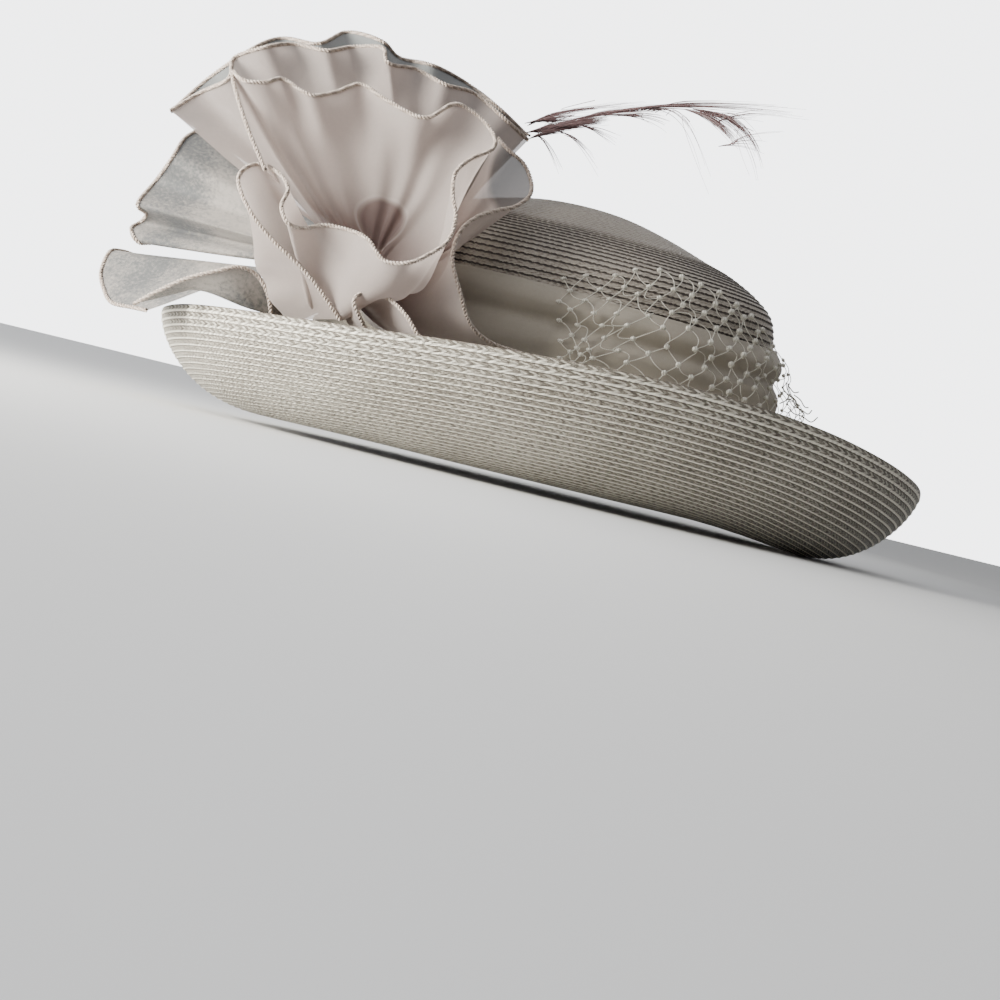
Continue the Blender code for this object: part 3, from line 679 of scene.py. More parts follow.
def straw_material(name, tones, ridge_highlight_share, groove_shadow_start, foot, top, plain_rows):
    # Plaited straw: u counts plaits along a row and v counts rows from each row's raised edge.
    # tones holds four colours: a painted highlight for each row's raised edge, the body, the blotch
    # and a painted shadow for the recess under each lapped edge.  A row is painted dark with shadow
    # past the share where that shadow starts and, unless foot is 0, up to its share foot.  The last
    # plain_rows of top rows lose most of their painted shadows and highlights, or with a negative
    # count show the plait's eyes, painted dark with shade, and its strands, painted with highlight.
    shade = Shade(name, roughness=0.6, sheen=0.1)
    times, scaled, between = shade.times, shade.scaled, shade.between
    ridge_highlight_tone, body_tone, blotch_tone, groove_shadow_tone = tones
    u, v = shade.cloth()
    row = shade.math("FRACT", v)
    which = shade.math("FLOOR", v)
    middle = shade.math("ABSOLUTE", scaled(row, 2.0, -1.1))
    along = shade.math("ADD", u, scaled(shade.noise(90.0, detail=2.0), 1.6, times(which, 0.37)))
    strand = shade.waves(scaled(middle, 0.7, along), 1.5)
    bumps = shade.waves(along, 1.7)
    fibre = shade.noise(1300.0, detail=4.0)
    coarse = shade.noise(2.3, stretch=(1.0, 1.7, 1.0), detail=2.0, along_cloth=True)
    patch = shade.noise(26.0, detail=4.0)
    blotch = times(between(coarse, 0.52, 0.66), between(middle, 0.9, 0.4))
    # Painted highlight along each row's raised edge, where the light catches it
    rough_row = scaled(bumps, 0.025, scaled(fibre, 0.10, row))
    ridge_highlight = times(between(rough_row, 0.42, 0.30), between(rough_row, 0.05, 0.11))
    glint = scaled(bumps, 0.15, scaled(fibre, 0.7, 0.55))
    ridge_highlight = times(ridge_highlight, shade.math("MINIMUM", glint, 1.0))
    # Painted shadow under each row's lapped edge, and near the row's foot
    ticks = scaled(bumps, 0.05, scaled(fibre, 0.20, row))
    painted_groove_shadow = between(ticks, groove_shadow_start + 0.08, groove_shadow_start + 0.22)
    if foot > 0.0:
        painted_groove_shadow = shade.math("MAXIMUM", painted_groove_shadow, between(ticks, foot + 0.13, foot + 0.05))
    last = between(v, top - 1.15 * abs(plain_rows) - 1.0, top - 0.9 * abs(plain_rows))
    if plain_rows > 0:
        painted_groove_shadow = times(painted_groove_shadow, scaled(last, -0.75, 1.0))
        ridge_highlight = times(ridge_highlight, scaled(last, -0.7, 1.0))
    tone = scaled(patch, 0.40, scaled(strand, 0.10, scaled(fibre, 0.75, -0.05)))
    light = tuple(0.55 * body + 0.45 * high for body, high in zip(body_tone, ridge_highlight_tone))
    base = shade.colours(tone, (0.20, blotch_tone), (0.48, body_tone), (0.85, light))
    base = shade.tint(base, times(blotch, 0.75), blotch_tone)
    height = scaled(blotch, -0.9, scaled(strand, 0.35, times(fibre, 0.8)))
    # The plait's eyes are painted dark with shade and its strands painted with highlight
    if plain_rows < 0:
        slant = shade.waves(scaled(middle, 0.9, along), 1.0)
        shaded_eye = times(times(between(slant, 0.45, 0.9), between(middle, 0.85, 0.5)), last)
        highlit_stroke = times(times(between(slant, -0.2, -0.8), between(middle, 0.95, 0.7)), last)
        base = shade.tint(base, times(shaded_eye, 0.42), groove_shadow_tone)
        base = shade.tint(base, times(highlit_stroke, 0.35), ridge_highlight_tone)
        height = scaled(shaded_eye, -1.2, height)
    # Lay on the painted highlights and the painted shadows
    base = shade.tint(base, times(ridge_highlight, ridge_highlight_share), ridge_highlight_tone)
    base = shade.tint(base, times(painted_groove_shadow, 0.9), groove_shadow_tone)
    shade.colour(base)
    shade.bump(height, 0.00035)
    return shade.material


def weave_material(name, light, dark, threads, depth, roughness=0.8, sheen=0.3, alpha=1.0,
                   translucent=0.0, root=None, tip=None, hollow=None, stops=(0.2, 0.8)):
    # Plain weave: u and v are metres across and along the cloth.  root is the colour that it
    # takes where it is gathered, at v near 0, darker for its layers and painted with shade.  The
    # band of colour laid from one v to another is painted shade: a dark backdrop as if seen through
    # the sheer cloth.  The dark spot holds the colour of painted shade, and its middle and half
    # size in u and v; a painted highlight runs round its rim.
    shade = Shade(name, roughness=roughness, sheen=sheen, alpha=alpha)
    times, scaled, between = shade.times, shade.scaled, shade.between
    u, v = shade.cloth()
    weave = times(shade.waves(u, threads), shade.waves(v, threads))
    fibre = shade.noise(700.0, detail=4.0)
    patch = shade.noise(30.0, detail=3.0)
    tone = scaled(patch, 0.55, scaled(weave, 0.10, scaled(fibre, 0.30, 0.10)))
    base = shade.colours(tone, (stops[0], dark), (stops[1], light))
    # Painted shade where the cloth is gathered, darker for its layers too
    if root is not None:
        base = shade.tint(base, between(v, GATHER_END, GATHER_START), root)
    # A spot of painted shade, with a painted highlight round its rim
    if hollow is not None:
        shade_hue, (middle, half_size) = hollow
        squares = []
        for place, centre, half in zip((u, v), middle, half_size):
            offset = shade.math("DIVIDE", shade.math("SUBTRACT", place, centre), half)
            squares.append(times(offset, offset))
        away = shade.math("ADD", *squares)
        lip_highlight = times(between(away, 0.86, 0.98), between(away, 1.18, 1.02))
        base = shade.tint(base, times(between(away, 1.0, 0.55), 0.9), shade_hue)
        base = shade.tint(base, times(lip_highlight, 0.5), light)
    # Painted shade over a band of v: a dark backdrop as if seen through the sheer cloth
    if tip is not None:
        ragged = scaled(shade.noise(45.0, detail=2.0), 0.03, v)
        base = shade.tint(base, between(ragged, tip[1] + 0.015, tip[2] + 0.015), tip[0])
    shade.colour(base)
    shade.bump(scaled(weave, 0.5, fibre), depth)
    if translucent:
        shade.let_through(base, translucent)
    return shade.material


def organza(name, light, dark, look, **marks):
    return weave_material(name, light, dark, 2400.0, 0.00005, **look, **marks)


def thread_material(name, light, dark, pitch, translucent=0.0):
    # Twisted thread: u is metres along it and v is the share of the way round it
    shade = Shade(name, roughness=0.7, sheen=0.3)
    u, v = shade.cloth()
    twist = shade.waves(shade.scaled(u, 1.0 / pitch, v), 1.0)
    fibre = shade.noise(1500.0, detail=3.0)
    tone = shade.scaled(twist, 0.32, shade.scaled(fibre, 0.5, 0.25))
    base = shade.colours(tone, (0.15, dark), (0.85, light))
    shade.colour(base)
    shade.bump(shade.scaled(twist, 0.6, fibre), 0.0002)
    if translucent:
        shade.let_through(base, translucent)
    return shade.material


def barb_material():
    shade = Shade("feather_barbs", roughness=0.55, sheen=0.4)
    tone = shade.noise(60.0, detail=4.0)
    streak = shade.noise(1400.0, detail=2.0)
    share = shade.scaled(streak, 0.45, shade.times(tone, 0.6))
    shade.colour(shade.colours(share, (0.25, (0.055, 0.022, 0.026)), (0.8, (0.21, 0.105, 0.105))))
    shade.bump(streak, 0.0001)
    return shade.material


def floor_material():
    shade = Shade("studio_floor", roughness=0.9)
    # Painted falloff of light: the floor's grey darkens towards the right
    place = shade.node("ShaderNodeTexCoord").outputs["Object"]
    across = shade.node("ShaderNodeSeparateXYZ", (place,)).outputs[0]
    share = shade.scaled(shade.noise(3.0, detail=2.0), 0.03, across)
    shade.colour(shade.colours(share, *[(end, (grey,) * 3) for end, grey in FLOOR_PAINTED_FALLOFF]))
    return shade.material


def row_places(rows, steps):
    # Shares of the way across all rows, and the same places counted in rows
    counted = np.concatenate([row + np.array(steps) for row in range(rows)] + [[rows - 1e-4]])
    return counted / rows, counted


def row_relief(counted, lap):
    # Relief of lapped rows: each stands out at its lower edge and sinks under the next row
    share = counted % 1.0
    body = np.sin(math.pi * np.clip(share / 0.94, 0.0, 1.0)) ** 0.6
    edge = np.exp(-((share - 0.13) / 0.10) ** 2)
    return ROW_RELIEF * (body + lap * edge)


def lapped_relief(counted):
    # Relief of rows whose lower edge lies over the row below
    share = counted % 1.0
    return 1.1 * ROW_RELIEF * np.clip(share / 0.06, 0.0, 1.0) * (1.0 - share) ** 0.7


def plaits(row_lengths, counted, columns):
    # Places along each row in plaits, with a whole number of plaits in every row
    whole = np.maximum(np.round(row_lengths / PLAIT_LENGTH), 4.0)
    by_row = whole[np.minimum(counted.astype(int), len(whole) - 1)]
    return by_row[:, None] * np.linspace(0.0, 1.0, columns + 1)[None, :]


def ring_lengths(grid):
    return np.linalg.norm(np.roll(grid, -1, axis=1) - grid, axis=2).sum(axis=1)


def build_brim():
    angles = SEAM_ANGLE + turn_steps(BRIM_COLUMNS)
    shares, counted = row_places(BRIM_ROWS, ROW_STEPS)
    inside_shares, inside_counted = row_places(BRIM_ROWS, INSIDE_ROW_STEPS)
    outer, inner = [], []
    for angle in angles:
        line = brim_section(angle)
        run = run_along(line)
        outer.append(read_along(line, run, shares * run[-1]))
        inner.append(read_along(line, run, inside_shares * run[-1]))
    outer, inner = np.stack(outer, axis=1), np.stack(inner, axis=1)
    wobble = 1.0 + 0.12 * np.sin(7 * angles)[None, :, None]
    under = raised(outer, -(row_relief(counted, 0.7)[:, None, None] * wobble - 0.0003))
    lift = STRAW - 0.0002 + 0.8 * row_relief(inside_counted, 0.5)[:, None, None]
    grid = np.concatenate([under, raised(inner, lift)[::-1]])
    counts = np.concatenate([counted, inside_counted[::-1], counted[:1]])
    middle = ring_lengths(outer)[np.searchsorted(counted, np.arange(BRIM_ROWS) + 0.45)]
    u = plaits(middle, counts, BRIM_COLUMNS)
    brim = grid_piece("brim_braid", grid, u, counts[:, None], STRAW_BRIM, closed=True, looped=True)
    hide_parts("brim")


def build_crown():
    angles = SEAM_ANGLE + turn_steps(CROWN_COLUMNS)
    shares, counted = row_places(CROWN_ROWS, ROW_STEPS)
    hidden = crown_share(BAND_HIGH - CROWN_UNDERLAP)
    run = run_along(PROFILE_CURVE * [CROWN_HEIGHT - CROWN_FOOT, HEAD_LENGTH / 2])
    start = np.interp(hidden, PROFILE_CURVE[:, 0], run)
    heights, reaches = read_along(PROFILE_CURVE, run, start + shares * (run[-1] - start)).T
    heights[-1] = 1.0
    relief = lapped_relief(counted)
    relief = relief * np.clip((CROWN_ROWS - CROWN_FLAT_ROWS - counted) / 4.0, 0.25, 1.0)
    grid = raised(crown_rings(angles, heights, reaches), (relief - 0.0003)[:, None, None])
    foot = crown_point(angles, np.linspace(0.0, hidden, 10)[:-1, None])
    grid = np.concatenate([foot, grid])
    counts = np.concatenate([np.linspace(-12.0, 0.0, 10)[:-1], counted])
    in_rows = ring_lengths(grid)[len(foot):]
    middle = in_rows[np.searchsorted(counted, np.arange(CROWN_ROWS) + 0.45)]
    u = plaits(middle, np.maximum(counts, 0.0), CROWN_COLUMNS)
    crown = grid_piece("crown_braid", grid, u, counts[:, None], STRAW_CROWN, closed=True)
    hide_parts("crown")


def crown_rings(angles, heights, reaches):
    flat = reaches[:, None, None] * oval(angles, STRAW + CROWN_SWELL)[None]
    rise = CROWN_FOOT + heights * (CROWN_HEIGHT - CROWN_FOOT)
    rise = np.broadcast_to(rise[:, None, None], (*flat.shape[:2], 1))
    return np.concatenate([flat, rise], axis=2)


def build_crown_inside():
    # The crown's inner face, seen from below through the head opening
    angles = turn_steps(INSIDE_COLUMNS)
    rows = PROFILE_CURVE[::5]
    grid = raised(crown_rings(angles, rows[:, 0], rows[:, 1]), -STRAW)
    grid[0, :, 2] = CROWN_FOOT
    counts = np.linspace(0.0, 1.0, len(rows)) * INSIDE_ROWS
    u = plaits(ring_lengths(grid), np.arange(len(rows)) * 1.0, INSIDE_COLUMNS)
    inside = grid_piece("crown_inside", grid[:, ::-1], u, counts[:, None], STRAW_CROWN, closed=True)


def band_out(share):
    table = np.array(BAND_FOLDS)
    return GAP + BAND_THICKNESS + BAND_FOLD * smooth_between(share, table[:, 0], table[:, 1])


def build_band():
    angles = turn_steps(BAND_COLUMNS)
    even = np.linspace(0.0, 1.0, BAND_RINGS - len(LEDGE_RINGS))
    share = np.sort(np.concatenate([even, LEDGE_RINGS]))
    low, high = crown_share(BAND_LOW), crown_share(BAND_HIGH)
    drift = 0.014 * np.sin(2 * angles + 0.6) + 0.007 * np.sin(5 * angles)
    fade = np.sin(math.pi * share)[:, None]
    fold = np.clip(share[:, None] + drift[None, :] * fade, 0.0, 1.0)
    crease = 0.0005 * np.sin(TURN * 5 * fold + 2.0 * np.sin(2 * angles)[None, :]) * fade
    out = band_out(fold) + crease
    below = (LEDGE_SHARE + drift[None, :] * 0.6 - share[:, None]) / 0.20
    out = out + BAND_LEDGE * np.clip(below / 0.05, 0.0, 1.0) * np.clip(1.0 - below, 0.0, 1.0)
    sag = 0.0010 * np.sin(3 * angles + 1.0)
    heights = low + share[:, None] * (high - low) + (sag[None, :] * share[:, None]) / CROWN_HEIGHT
    outer = crown_point(angles, heights, out)
    back = crown_point(angles, heights[::-1][::12], GAP)
    around = float(ring_lengths(outer)[BAND_RINGS // 2])
    up = np.concatenate([share, share[::-1][::12], share[:1]]) * (BAND_HIGH - BAND_LOW)
    band = grid_piece("band_cloth", np.concatenate([outer, back]),
                      np.linspace(0.0, around, BAND_COLUMNS + 1), up[:, None],
                      BAND_CLOTH, closed=True, looped=True)
    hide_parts("hat_band")


def outermost(angle, height, margin):
    # The outside of the crown and band together at a share of the crown's height
    low, high = crown_share(BAND_LOW), crown_share(BAND_HIGH)
    above = crown_share(BAND_HIGH + 2 * BAND_FOLD)
    cover = np.clip((above - height) / crown_share(3 * BAND_FOLD), 0.0, 1.0)
    share = np.clip((height - low) / (high - low), 0.0, 1.0)
    return crown_point(angle, height, margin + cover * band_out(share))


NET_LINE = curve_through(NET_EDGES, NET_STEPS, places=1)


def net_point(along, across):
    # A place in the net; towards the gather its lines are drawn in
    along = np.clip(along, 0.0, 1.0)
    across = np.asarray(across, dtype=float)
    away = ((along - NET_GATHER[0]) / 0.12) ** 2 + ((across - NET_GATHER[1]) / 0.40) ** 2
    near = NET_PULL * np.exp(-away)
    along = along + near * (NET_GATHER[0] - along)
    across = across + 0.5 * near * (NET_GATHER[1] - across)
    angle, low, high, puff = [np.interp(along, np.linspace(0, 1, NET_STEPS), column)
                              for column in NET_LINE.T]
    height = low + across * (high - low)
    lift = NET_STANDOFF + NET_PUFF * puff * (1 - (2 * across - 1) ** 2 * 0.5)
    return outermost(np.radians(angle), height, lift)


def build_net():
    # Diamond veiling: bowed strands between knots, and loose ends where it is cut
    knots = {}
    for column in range(NET_COLUMNS):
        for row in range(NET_ROWS):
            if (column + row) % 2 == 0:
                shift = RNG.normal(0.0, 0.16, 2)
                knots[(column, row)] = ((column + shift[0]) / (NET_COLUMNS - 1),
                                        np.clip((row + shift[1]) / (NET_ROWS - 1), 0.0, 1.0))
    strands = []
    share = np.linspace(0.0, 1.0, STRAND_POINTS)
    arch = np.sin(math.pi * share)
    for (column, row), start in knots.items():
        for step in ((1, 1), (1, -1)):
            end = knots.get((column + step[0], row + step[1]))
            if end is not None:
                bow = 0.012 * arch * RNG.normal(0.0, 1.0)
                line = net_point(start[0] + share * (end[0] - start[0]) + bow,
                                 start[1] + share * (end[1] - start[1]) + 2.0 * bow)
                line = line + (0.0006 * arch)[:, None] * line / 0.1 * [1, 1, 0]
                strands.append(np.column_stack([line, np.full(STRAND_POINTS, NET_RADIUS)]))
    share = np.linspace(-1.0, 1.0, 13)
    ball = np.sqrt(np.maximum(1.0 - share**2, 0.02))
    ridges = 1 + 0.22 * np.cos(share * 9.0)
    for along, across in knots.values():
        line = np.array([net_point(along + 0.0035 * step, across)
                         for step in np.linspace(-1, 1, 7)])
        thread = line[-1] - line[0]
        thread = thread / max(np.linalg.norm(thread), 1e-9)
        small = 1.0 - 0.85 * smooth_between(along, [0.0, 0.72, 0.85, 1.0], [0.0, 0.0, 1.0, 1.0])
        wrapped = small * KNOT_RADIUS * ball * ridges
        places = line[3] + share[:, None] * thread * KNOT_LENGTH / 2
        strands.append(np.column_stack([places, wrapped]))
    tail = net_point(1.0, 0.5)
    for bends in NET_ENDS:
        back, up = curve_through(bends, END_POINTS, places=2).T
        depth = 0.0015 * RNG.normal() * np.sin(np.linspace(0.0, math.pi, END_POINTS))
        strands.append(np.column_stack([tail + np.column_stack([back, depth, up]),
                                        np.full(END_POINTS, NET_END_RADIUS)]))
    net = mesh_piece("veil_net", *tubes(strands), NET_THREAD)
    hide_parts("veil")


def base_point(turn, ring, out):
    # A place on the backing: turn runs round its middle, ring is a share of its radius
    middle = math.radians(BASE_ANGLE)
    round_crown = math.hypot(*oval(middle, STRAW + CROWN_SWELL))
    angle = middle + ring * BASE_RADIUS * np.cos(turn) / round_crown
    height = crown_share(BASE_SEAT + ring * BASE_RADIUS * np.sin(turn))
    top = crown_share(BAND_HIGH)
    inner = GAP + BAND_THICKNESS + BAND_FOLD + GAP
    over = np.maximum(height - top, 0.0) * (CROWN_HEIGHT - CROWN_FOOT)
    place = crown_point(angle, np.minimum(height, top), inner + out)
    place[..., 2] += over
    return place


def base_outward():
    middle = math.radians(BASE_ANGLE)
    away = oval(middle, 0.001) - oval(middle, 0.0)
    return np.array([*(away / np.linalg.norm(away)), 0.0])


def flower_place(front, depth, rise):
    anchor = base_point(0.0, 0.0, BASE_THICKNESS + FLOWER_STANDOFF)
    return anchor + np.array([-front * FLOWER_REACH, -depth * FLOWER_DEPTH, rise * FLOWER_RISE])


def build_backing():
    turns = turn_steps(72)
    rings = np.concatenate([np.full(6, 1.0), np.linspace(1.0, 0.02, 14)])
    lifts = np.concatenate([BASE_THICKNESS * np.sin(np.linspace(0.0, 0.5, 6) * math.pi),
                            np.full(14, BASE_THICKNESS)])
    grid = np.array([base_point(turns, ring, lift) for ring, lift in zip(rings, lifts)])
    u = np.linspace(0.0, TURN * BASE_RADIUS, len(turns) + 1)
    v = ((1.0 - rings) * BASE_RADIUS)[:, None]
    backing = grid_piece("flower_backing", grid, u, v, BACKING_CLOTH, closed=True)
    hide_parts("flower_base")


def smoothed(rows, reach):
    # Rows averaged over their neighbours within about reach places, with the ends kept
    steps = np.arange(-3 * reach, 3 * reach + 1)
    weights = np.exp(-0.5 * (steps / reach) ** 2)
    weights = weights / weights.sum()
    padded = np.pad(rows, ((3 * reach, 3 * reach), (0, 0)), mode="reflect", reflect_type="odd")
    return np.stack([np.convolve(part, weights, "valid") for part in padded.T], axis=1)


def ruffle_grid(name, columns, rings):
    # Points of a ruffle from its gathers on the backing to its hem.  The hem's waves fade down the
    # cloth, and a skirt of the front petals hangs before the gathers.
    start, end, ring, spread = RUFFLES[name]
    hem = curve_through(HEMS[name], columns)
    place = np.linspace(0.0, 1.0, columns)
    calm = hem
    if name in CALM:
        reach, front = CALM[name]
        share = np.clip((front - place) / 0.08, 0.35, 1.0)[:, None]
        calm = hem + share * (smoothed(hem, int(reach * columns)) - hem)
    grid = []
    for step, row in enumerate(calm):
        turn = math.radians(start + (end - start) * step / (columns - 1))
        root = base_point(turn, ring, BASE_THICKNESS + GAP + ORGANZA / 2)
        away = root + base_outward() * spread * BASE_RADIUS
        edge = flower_place(*row[:3])
        belly = (away + edge) / 2 + flower_place(*row[3:]) - flower_place(0.0, 0.0, 0.0)
        if name == "ruffle_cup":
            way = (place[step] - SKIRT[0]) / (SKIRT[1] - SKIRT[0])
            hang = math.sin(math.pi * min(max(way, 0.0), 1.0)) ** 0.7
            belly = belly + hang * np.array([0.0, -SKIRT[2], -SKIRT[3]])
        grid.append(curve_through([root, away, belly, edge], rings))
    grid = np.array(grid).transpose(1, 0, 2)
    waves = (hem - calm)[:, :3] * [-FLOWER_REACH, -FLOWER_DEPTH, FLOWER_RISE]
    out = np.linspace(0.0, 1.0, rings)[:, None, None]
    return grid + waves * np.clip((out - 0.64) / 0.36, 0.0, 1.0) ** 1.6


def pleats(columns, rings, length, seed):
    # Small folds that run from the gathers and fade towards the hem, and soft waves across them
    chance = np.random.default_rng(seed)
    along = np.linspace(0.0, 1.0, columns)
    out = np.linspace(0.0, 1.0, rings)[:, None]
    count = max(6, int(length / GATHER_WIDTH))
    phase = chance.uniform(0.0, TURN, 3)
    uneven = along + 0.012 * np.sin(TURN * 5 * along + phase[0])
    near = np.sin(math.pi * np.clip(out * 2.2, 0.0, 1.0))
    gather = 0.0002 * np.sin(TURN * count * uneven) * near
    wave = np.sin(TURN * (count * 0.37) * uneven + phase[1] + 1.5 * out)
    wave = 0.0009 * wave * np.sin(math.pi * out)
    return (gather + wave)[..., None]


def build_ruffle(name, seed):
    hem_line = curve_through(HEMS[name], 200)
    steps = np.diff(hem_line[:, :3] * [FLOWER_REACH, FLOWER_DEPTH, FLOWER_RISE], axis=0)
    length = np.linalg.norm(steps, axis=1).sum()
    columns = int(np.clip(length / RUFFLE_CELL, 48, 320))
    grid = ruffle_grid(name, columns, RUFFLE_RINGS)
    grid = raised(grid, pleats(columns, RUFFLE_RINGS, length, seed), closed=False)
    sheet = grid_piece(name + "_cloth", grid, run_along(grid[-1]),
                       run_along(grid[:, columns // 2])[:, None], ORGANZAS.get(name, ORGANZA_CLOTH))
    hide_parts(name)
    hem = build_hem(name, grid[-1])


def build_hem(name, line):
    # Hem: two plies of thread twisted round the cloth's edge
    path = evenly(line, int(run_along(line)[-1] / HEM_TWIST * HEM_STEPS))
    side, over = across_line(path)
    plies = []
    for start in (0.0, math.pi):
        turn = (np.arange(len(path)) * TURN / HEM_STEPS + start)[:, None]
        ply = path + HEM_RADIUS * 0.55 * (np.cos(turn) * side + np.sin(turn) * over)
        plies.append(np.column_stack([ply, np.full(len(path), HEM_RADIUS * 0.62)]))
    hem = mesh_piece(name + "_hem", *tubes(plies, sides=5), HEM_THREAD)
    return hem


def build_feather():
    # A bound stem up the flower's back edge, and locks of fine loose barbs from its end
    shoulder = flower_place(*FEATHER_SHOULDER)
    edge = ruffle_grid("ruffle_back", 160, 40)[:, -3]
    path = evenly(np.concatenate([edge, shoulder[None]]), 80)
    stem = np.column_stack([path, np.full(80, STEM_RADIUS)])
    mesh_piece("feather_stem", *tubes([stem], sides=8), HEM_THREAD)
    scale = np.array([FEATHER_REACH, 0.05 * FEATHER_REACH, FEATHER_RISE])
    lines = []
    for lock in FEATHER_LOCKS:
        from_reach, from_rise, bend_reach, bend_rise, to_reach, to_rise, barbs, spread = lock
        room = max(bend_reach - from_reach, 0.05)
        for _ in range(barbs):
            drift, sway = RNG.normal(0.0, 0.5, 2)
            begin = from_reach + RNG.uniform(0.0, 0.6) * (to_reach - from_reach) * abs(drift)
            climb = (begin - from_reach) * (bend_rise - from_rise) / room
            start = np.array([begin, 0.0, from_rise + climb])
            reach = RNG.uniform(0.55, 1.05)
            bend = np.array([bend_reach, sway, bend_rise + 0.6 * spread * drift])
            end = np.array([to_reach, 1.6 * sway, to_rise + 1.4 * spread * drift])
            share = np.linspace(0.0, 1.0, 12)[:, None] * reach
            control = 2.0 * bend - 0.5 * (start + end)
            line = ((1 - share)**2 * start + 2 * share * (1 - share) * control
                    + share**2 * end)
            thin = BARB_RADIUS * (1.0 - 0.75 * share / reach)
            lines.append(np.column_stack([shoulder + line * [1, -1, 1] * scale, thin]))
    plume = mesh_piece("feather_plume", *tubes(lines, sides=4), FEATHER_BARBS)
    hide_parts("feather")


def build_stage():
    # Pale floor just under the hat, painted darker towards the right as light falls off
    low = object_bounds()[0].z
    bpy.ops.mesh.primitive_circle_add(vertices=96, radius=9.0, fill_type="NGON",
                                      location=(0, 0, low - 0.0002))
    floor = bpy.context.object
    floor.name = "floor"
    floor.data.materials.append(floor_material())


def build_lights():
    # A pale studio, bright at the left, above and most of all behind the hat, with a soft key low
    # at the left and a weak fill from high in front
    world = bpy.data.worlds.new("studio")
    world.use_nodes = True
    nodes = world.node_tree.nodes
    links = world.node_tree.links
    split = nodes.new("ShaderNodeSeparateXYZ")
    links.new(nodes.new("ShaderNodeTexCoord").outputs["Generated"], split.inputs[0])
    level = None
    for part, low, high, start, end in STUDIO_LIGHT:
        spread = nodes.new("ShaderNodeMapRange")
        spread.interpolation_type = "SMOOTHSTEP"
        for socket, value in zip(spread.inputs[1:], (low, high, start, end)):
            if value is not None:
                socket.default_value = value
        if level is not None:
            links.new(level, spread.inputs[3])
        links.new(split.outputs[part], spread.inputs[0])
        level = spread.outputs[0]
    background = nodes["Background"]
    background.inputs[0].default_value = (0.97, 0.98, 1.0, 1.0)
    links.new(level, background.inputs[1])
    bpy.context.scene.world = world
    for name, place, size, power, colour in LAMPS:
        light = bpy.data.lights.new(name, "AREA")
        light.size = size
        light.energy = power
        light.color = colour
        lamp = show(name, light)
        lamp.location = place
        aim = Vector(LAMP_TARGET) - Vector(place)
        lamp.rotation_euler = aim.to_track_quat("-Z", "Y").to_euler()


def build_camera():
    camera = bpy.data.cameras.new("camera")
    camera.sensor_width = SENSOR
    camera.lens = SENSOR * CAMERA_DISTANCE / VIEW_WIDTH
    camera.clip_start = 0.001
    holder = show("camera", camera)
    forward = Vector((0.0, CAMERA_DISTANCE, AIM_Z - CAMERA_Z)).normalized()
    level = Vector((1.0, 0.0, 0.0))
    roll = Matrix.Rotation(math.radians(CAMERA_ROLL), 3, -forward)
    right = roll @ level
    up = roll @ level.cross(forward)
    turned = Matrix((right, up, -forward)).transposed().to_4x4()
    turned.translation = Vector((CAMERA_X, -CAMERA_DISTANCE, CAMERA_Z))
    holder.matrix_world = turned
    bpy.context.scene.camera = holder


# Tones: painted highlight of the raised edges, body, blotch, and painted shadow under the lapped
# edges
STRAW_BRIM = straw_material(
    "straw_brim",
    ((0.95, 0.90, 0.77), (0.22, 0.195, 0.155), (0.075, 0.06, 0.045), (0.11, 0.09, 0.07)),
    ridge_highlight_share=1.0, groove_shadow_start=0.84, foot=0.0, top=BRIM_ROWS, plain_rows=-3)
STRAW_CROWN = straw_material(
    "straw_crown",
    ((0.52, 0.47, 0.40), (0.37, 0.325, 0.275), (0.19, 0.16, 0.13), (0.050, 0.040, 0.036)),
    ridge_highlight_share=0.4, groove_shadow_start=0.80, foot=0.12, top=CROWN_ROWS, plain_rows=22)
BAND_CLOTH = weave_material("band_weave", (0.42, 0.375, 0.31), (0.33, 0.29, 0.235), 2600.0, 0.00008)
BACKING_CLOTH = weave_material("backing_weave", (0.38, 0.34, 0.32), (0.25, 0.22, 0.21), 1100.0,
                               0.0003)
SHEER_LOOK = dict(roughness=0.5, sheen=0.25, alpha=0.80, translucent=0.42)
RIGHT_LOOK = dict(roughness=0.5, sheen=0.15, alpha=0.96, translucent=0.12)
BACK_LOOK = dict(roughness=0.7, sheen=0.1, alpha=0.985, translucent=0.0)
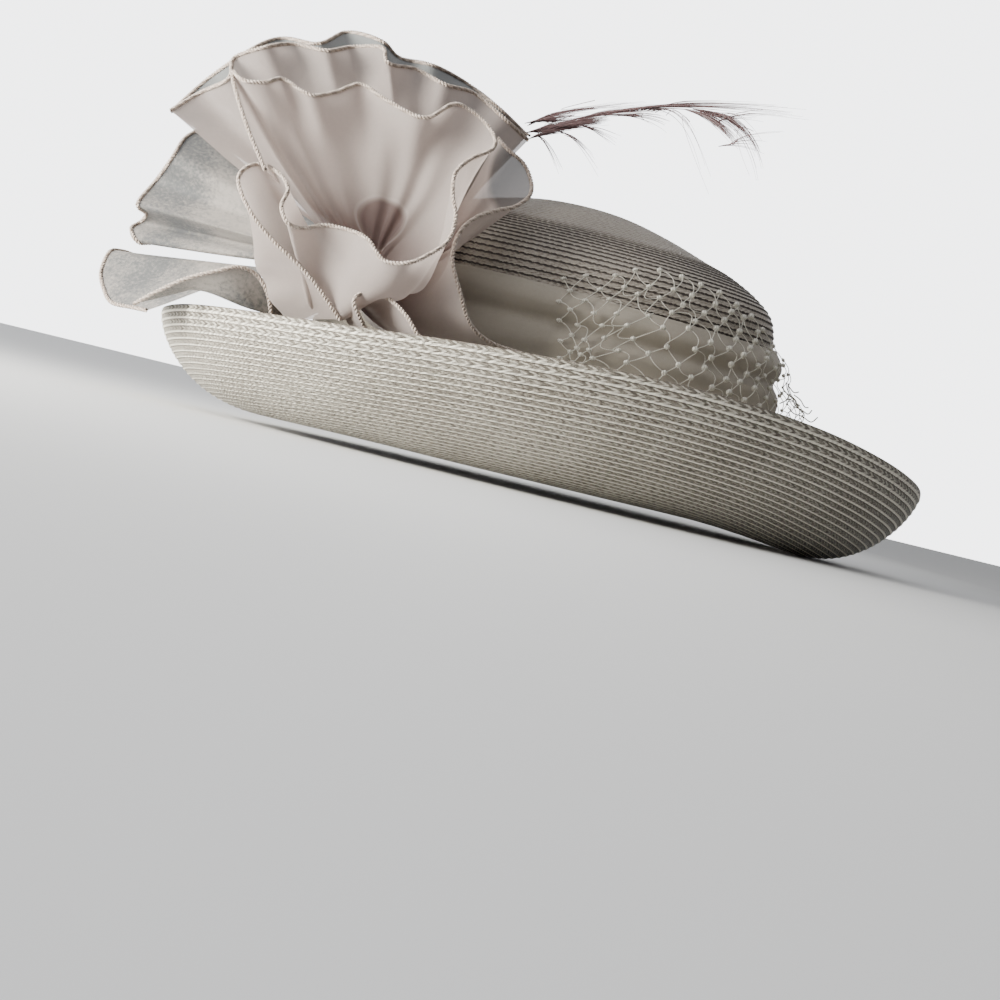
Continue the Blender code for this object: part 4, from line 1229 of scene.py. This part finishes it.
# Painted shade of the gathers at the backing, darker for their layers too
GATHERED_AND_SHADED = (0.16, 0.095, 0.085)
ORGANZA_CLOTH = organza("organza_weave", (0.50, 0.43, 0.395), (0.40, 0.335, 0.31), SHEER_LOOK,
                        root=GATHERED_AND_SHADED)
# The side ruffles are a darkened copy of the organza, mottled with painted shade: a dark backdrop
# as if seen through the sheer cloth
SIDE_ORGANZA_BACKDROP_SHADE = organza("organza_side_weave", (0.31, 0.28, 0.25), (0.080, 0.083, 0.084), BACK_LOOK,
                       stops=(0.47, 0.58))
ORGANZAS = {
    # The back ruffle is a darkened copy of the organza with a band of painted shade: a dark
    # backdrop as if seen through the sheer cloth
    "ruffle_back": organza("organza_back_weave", (0.36, 0.31, 0.285), (0.26, 0.22, 0.20), BACK_LOOK,
                           tip=((0.135, 0.140, 0.138), 0.070, 0.095)),
    # The cup is a lighter copy of the organza, painted light, with painted shade in its throat
    "ruffle_cup": organza("organza_cup_weave", (0.56, 0.485, 0.445), (0.45, 0.38, 0.35), SHEER_LOOK,
                          root=GATHERED_AND_SHADED, hollow=((0.15, 0.095, 0.085), THROAT_SHADE)),
    # The right ruffle has a spot of painted shade: a dark backdrop as if seen through the sheer
    # cloth
    "ruffle_right": organza("organza_right_weave", (0.50, 0.43, 0.395), (0.38, 0.32, 0.295),
                            RIGHT_LOOK, root=GATHERED_AND_SHADED, hollow=((0.10, 0.092, 0.090), RIGHT_SHADE_SPOT)),
    "ruffle_side_low": SIDE_ORGANZA_BACKDROP_SHADE,
    "ruffle_side_outer": SIDE_ORGANZA_BACKDROP_SHADE,
    "ruffle_side_high": SIDE_ORGANZA_BACKDROP_SHADE,
}
HEM_THREAD = thread_material("hem_thread", (0.54, 0.455, 0.39), (0.29, 0.23, 0.19), HEM_TWIST)
NET_THREAD = thread_material("net_thread", (0.82, 0.79, 0.71), (0.58, 0.55, 0.47), 0.0008,
                             translucent=0.2)
FEATHER_BARBS = barb_material()

build_camera()
build_crown()
build_crown_inside()
build_brim()
build_band()
build_net()
build_backing()
for number, ruffle in enumerate(RUFFLES):
    build_ruffle(ruffle, number)
build_feather()
build_stage()
build_lights()
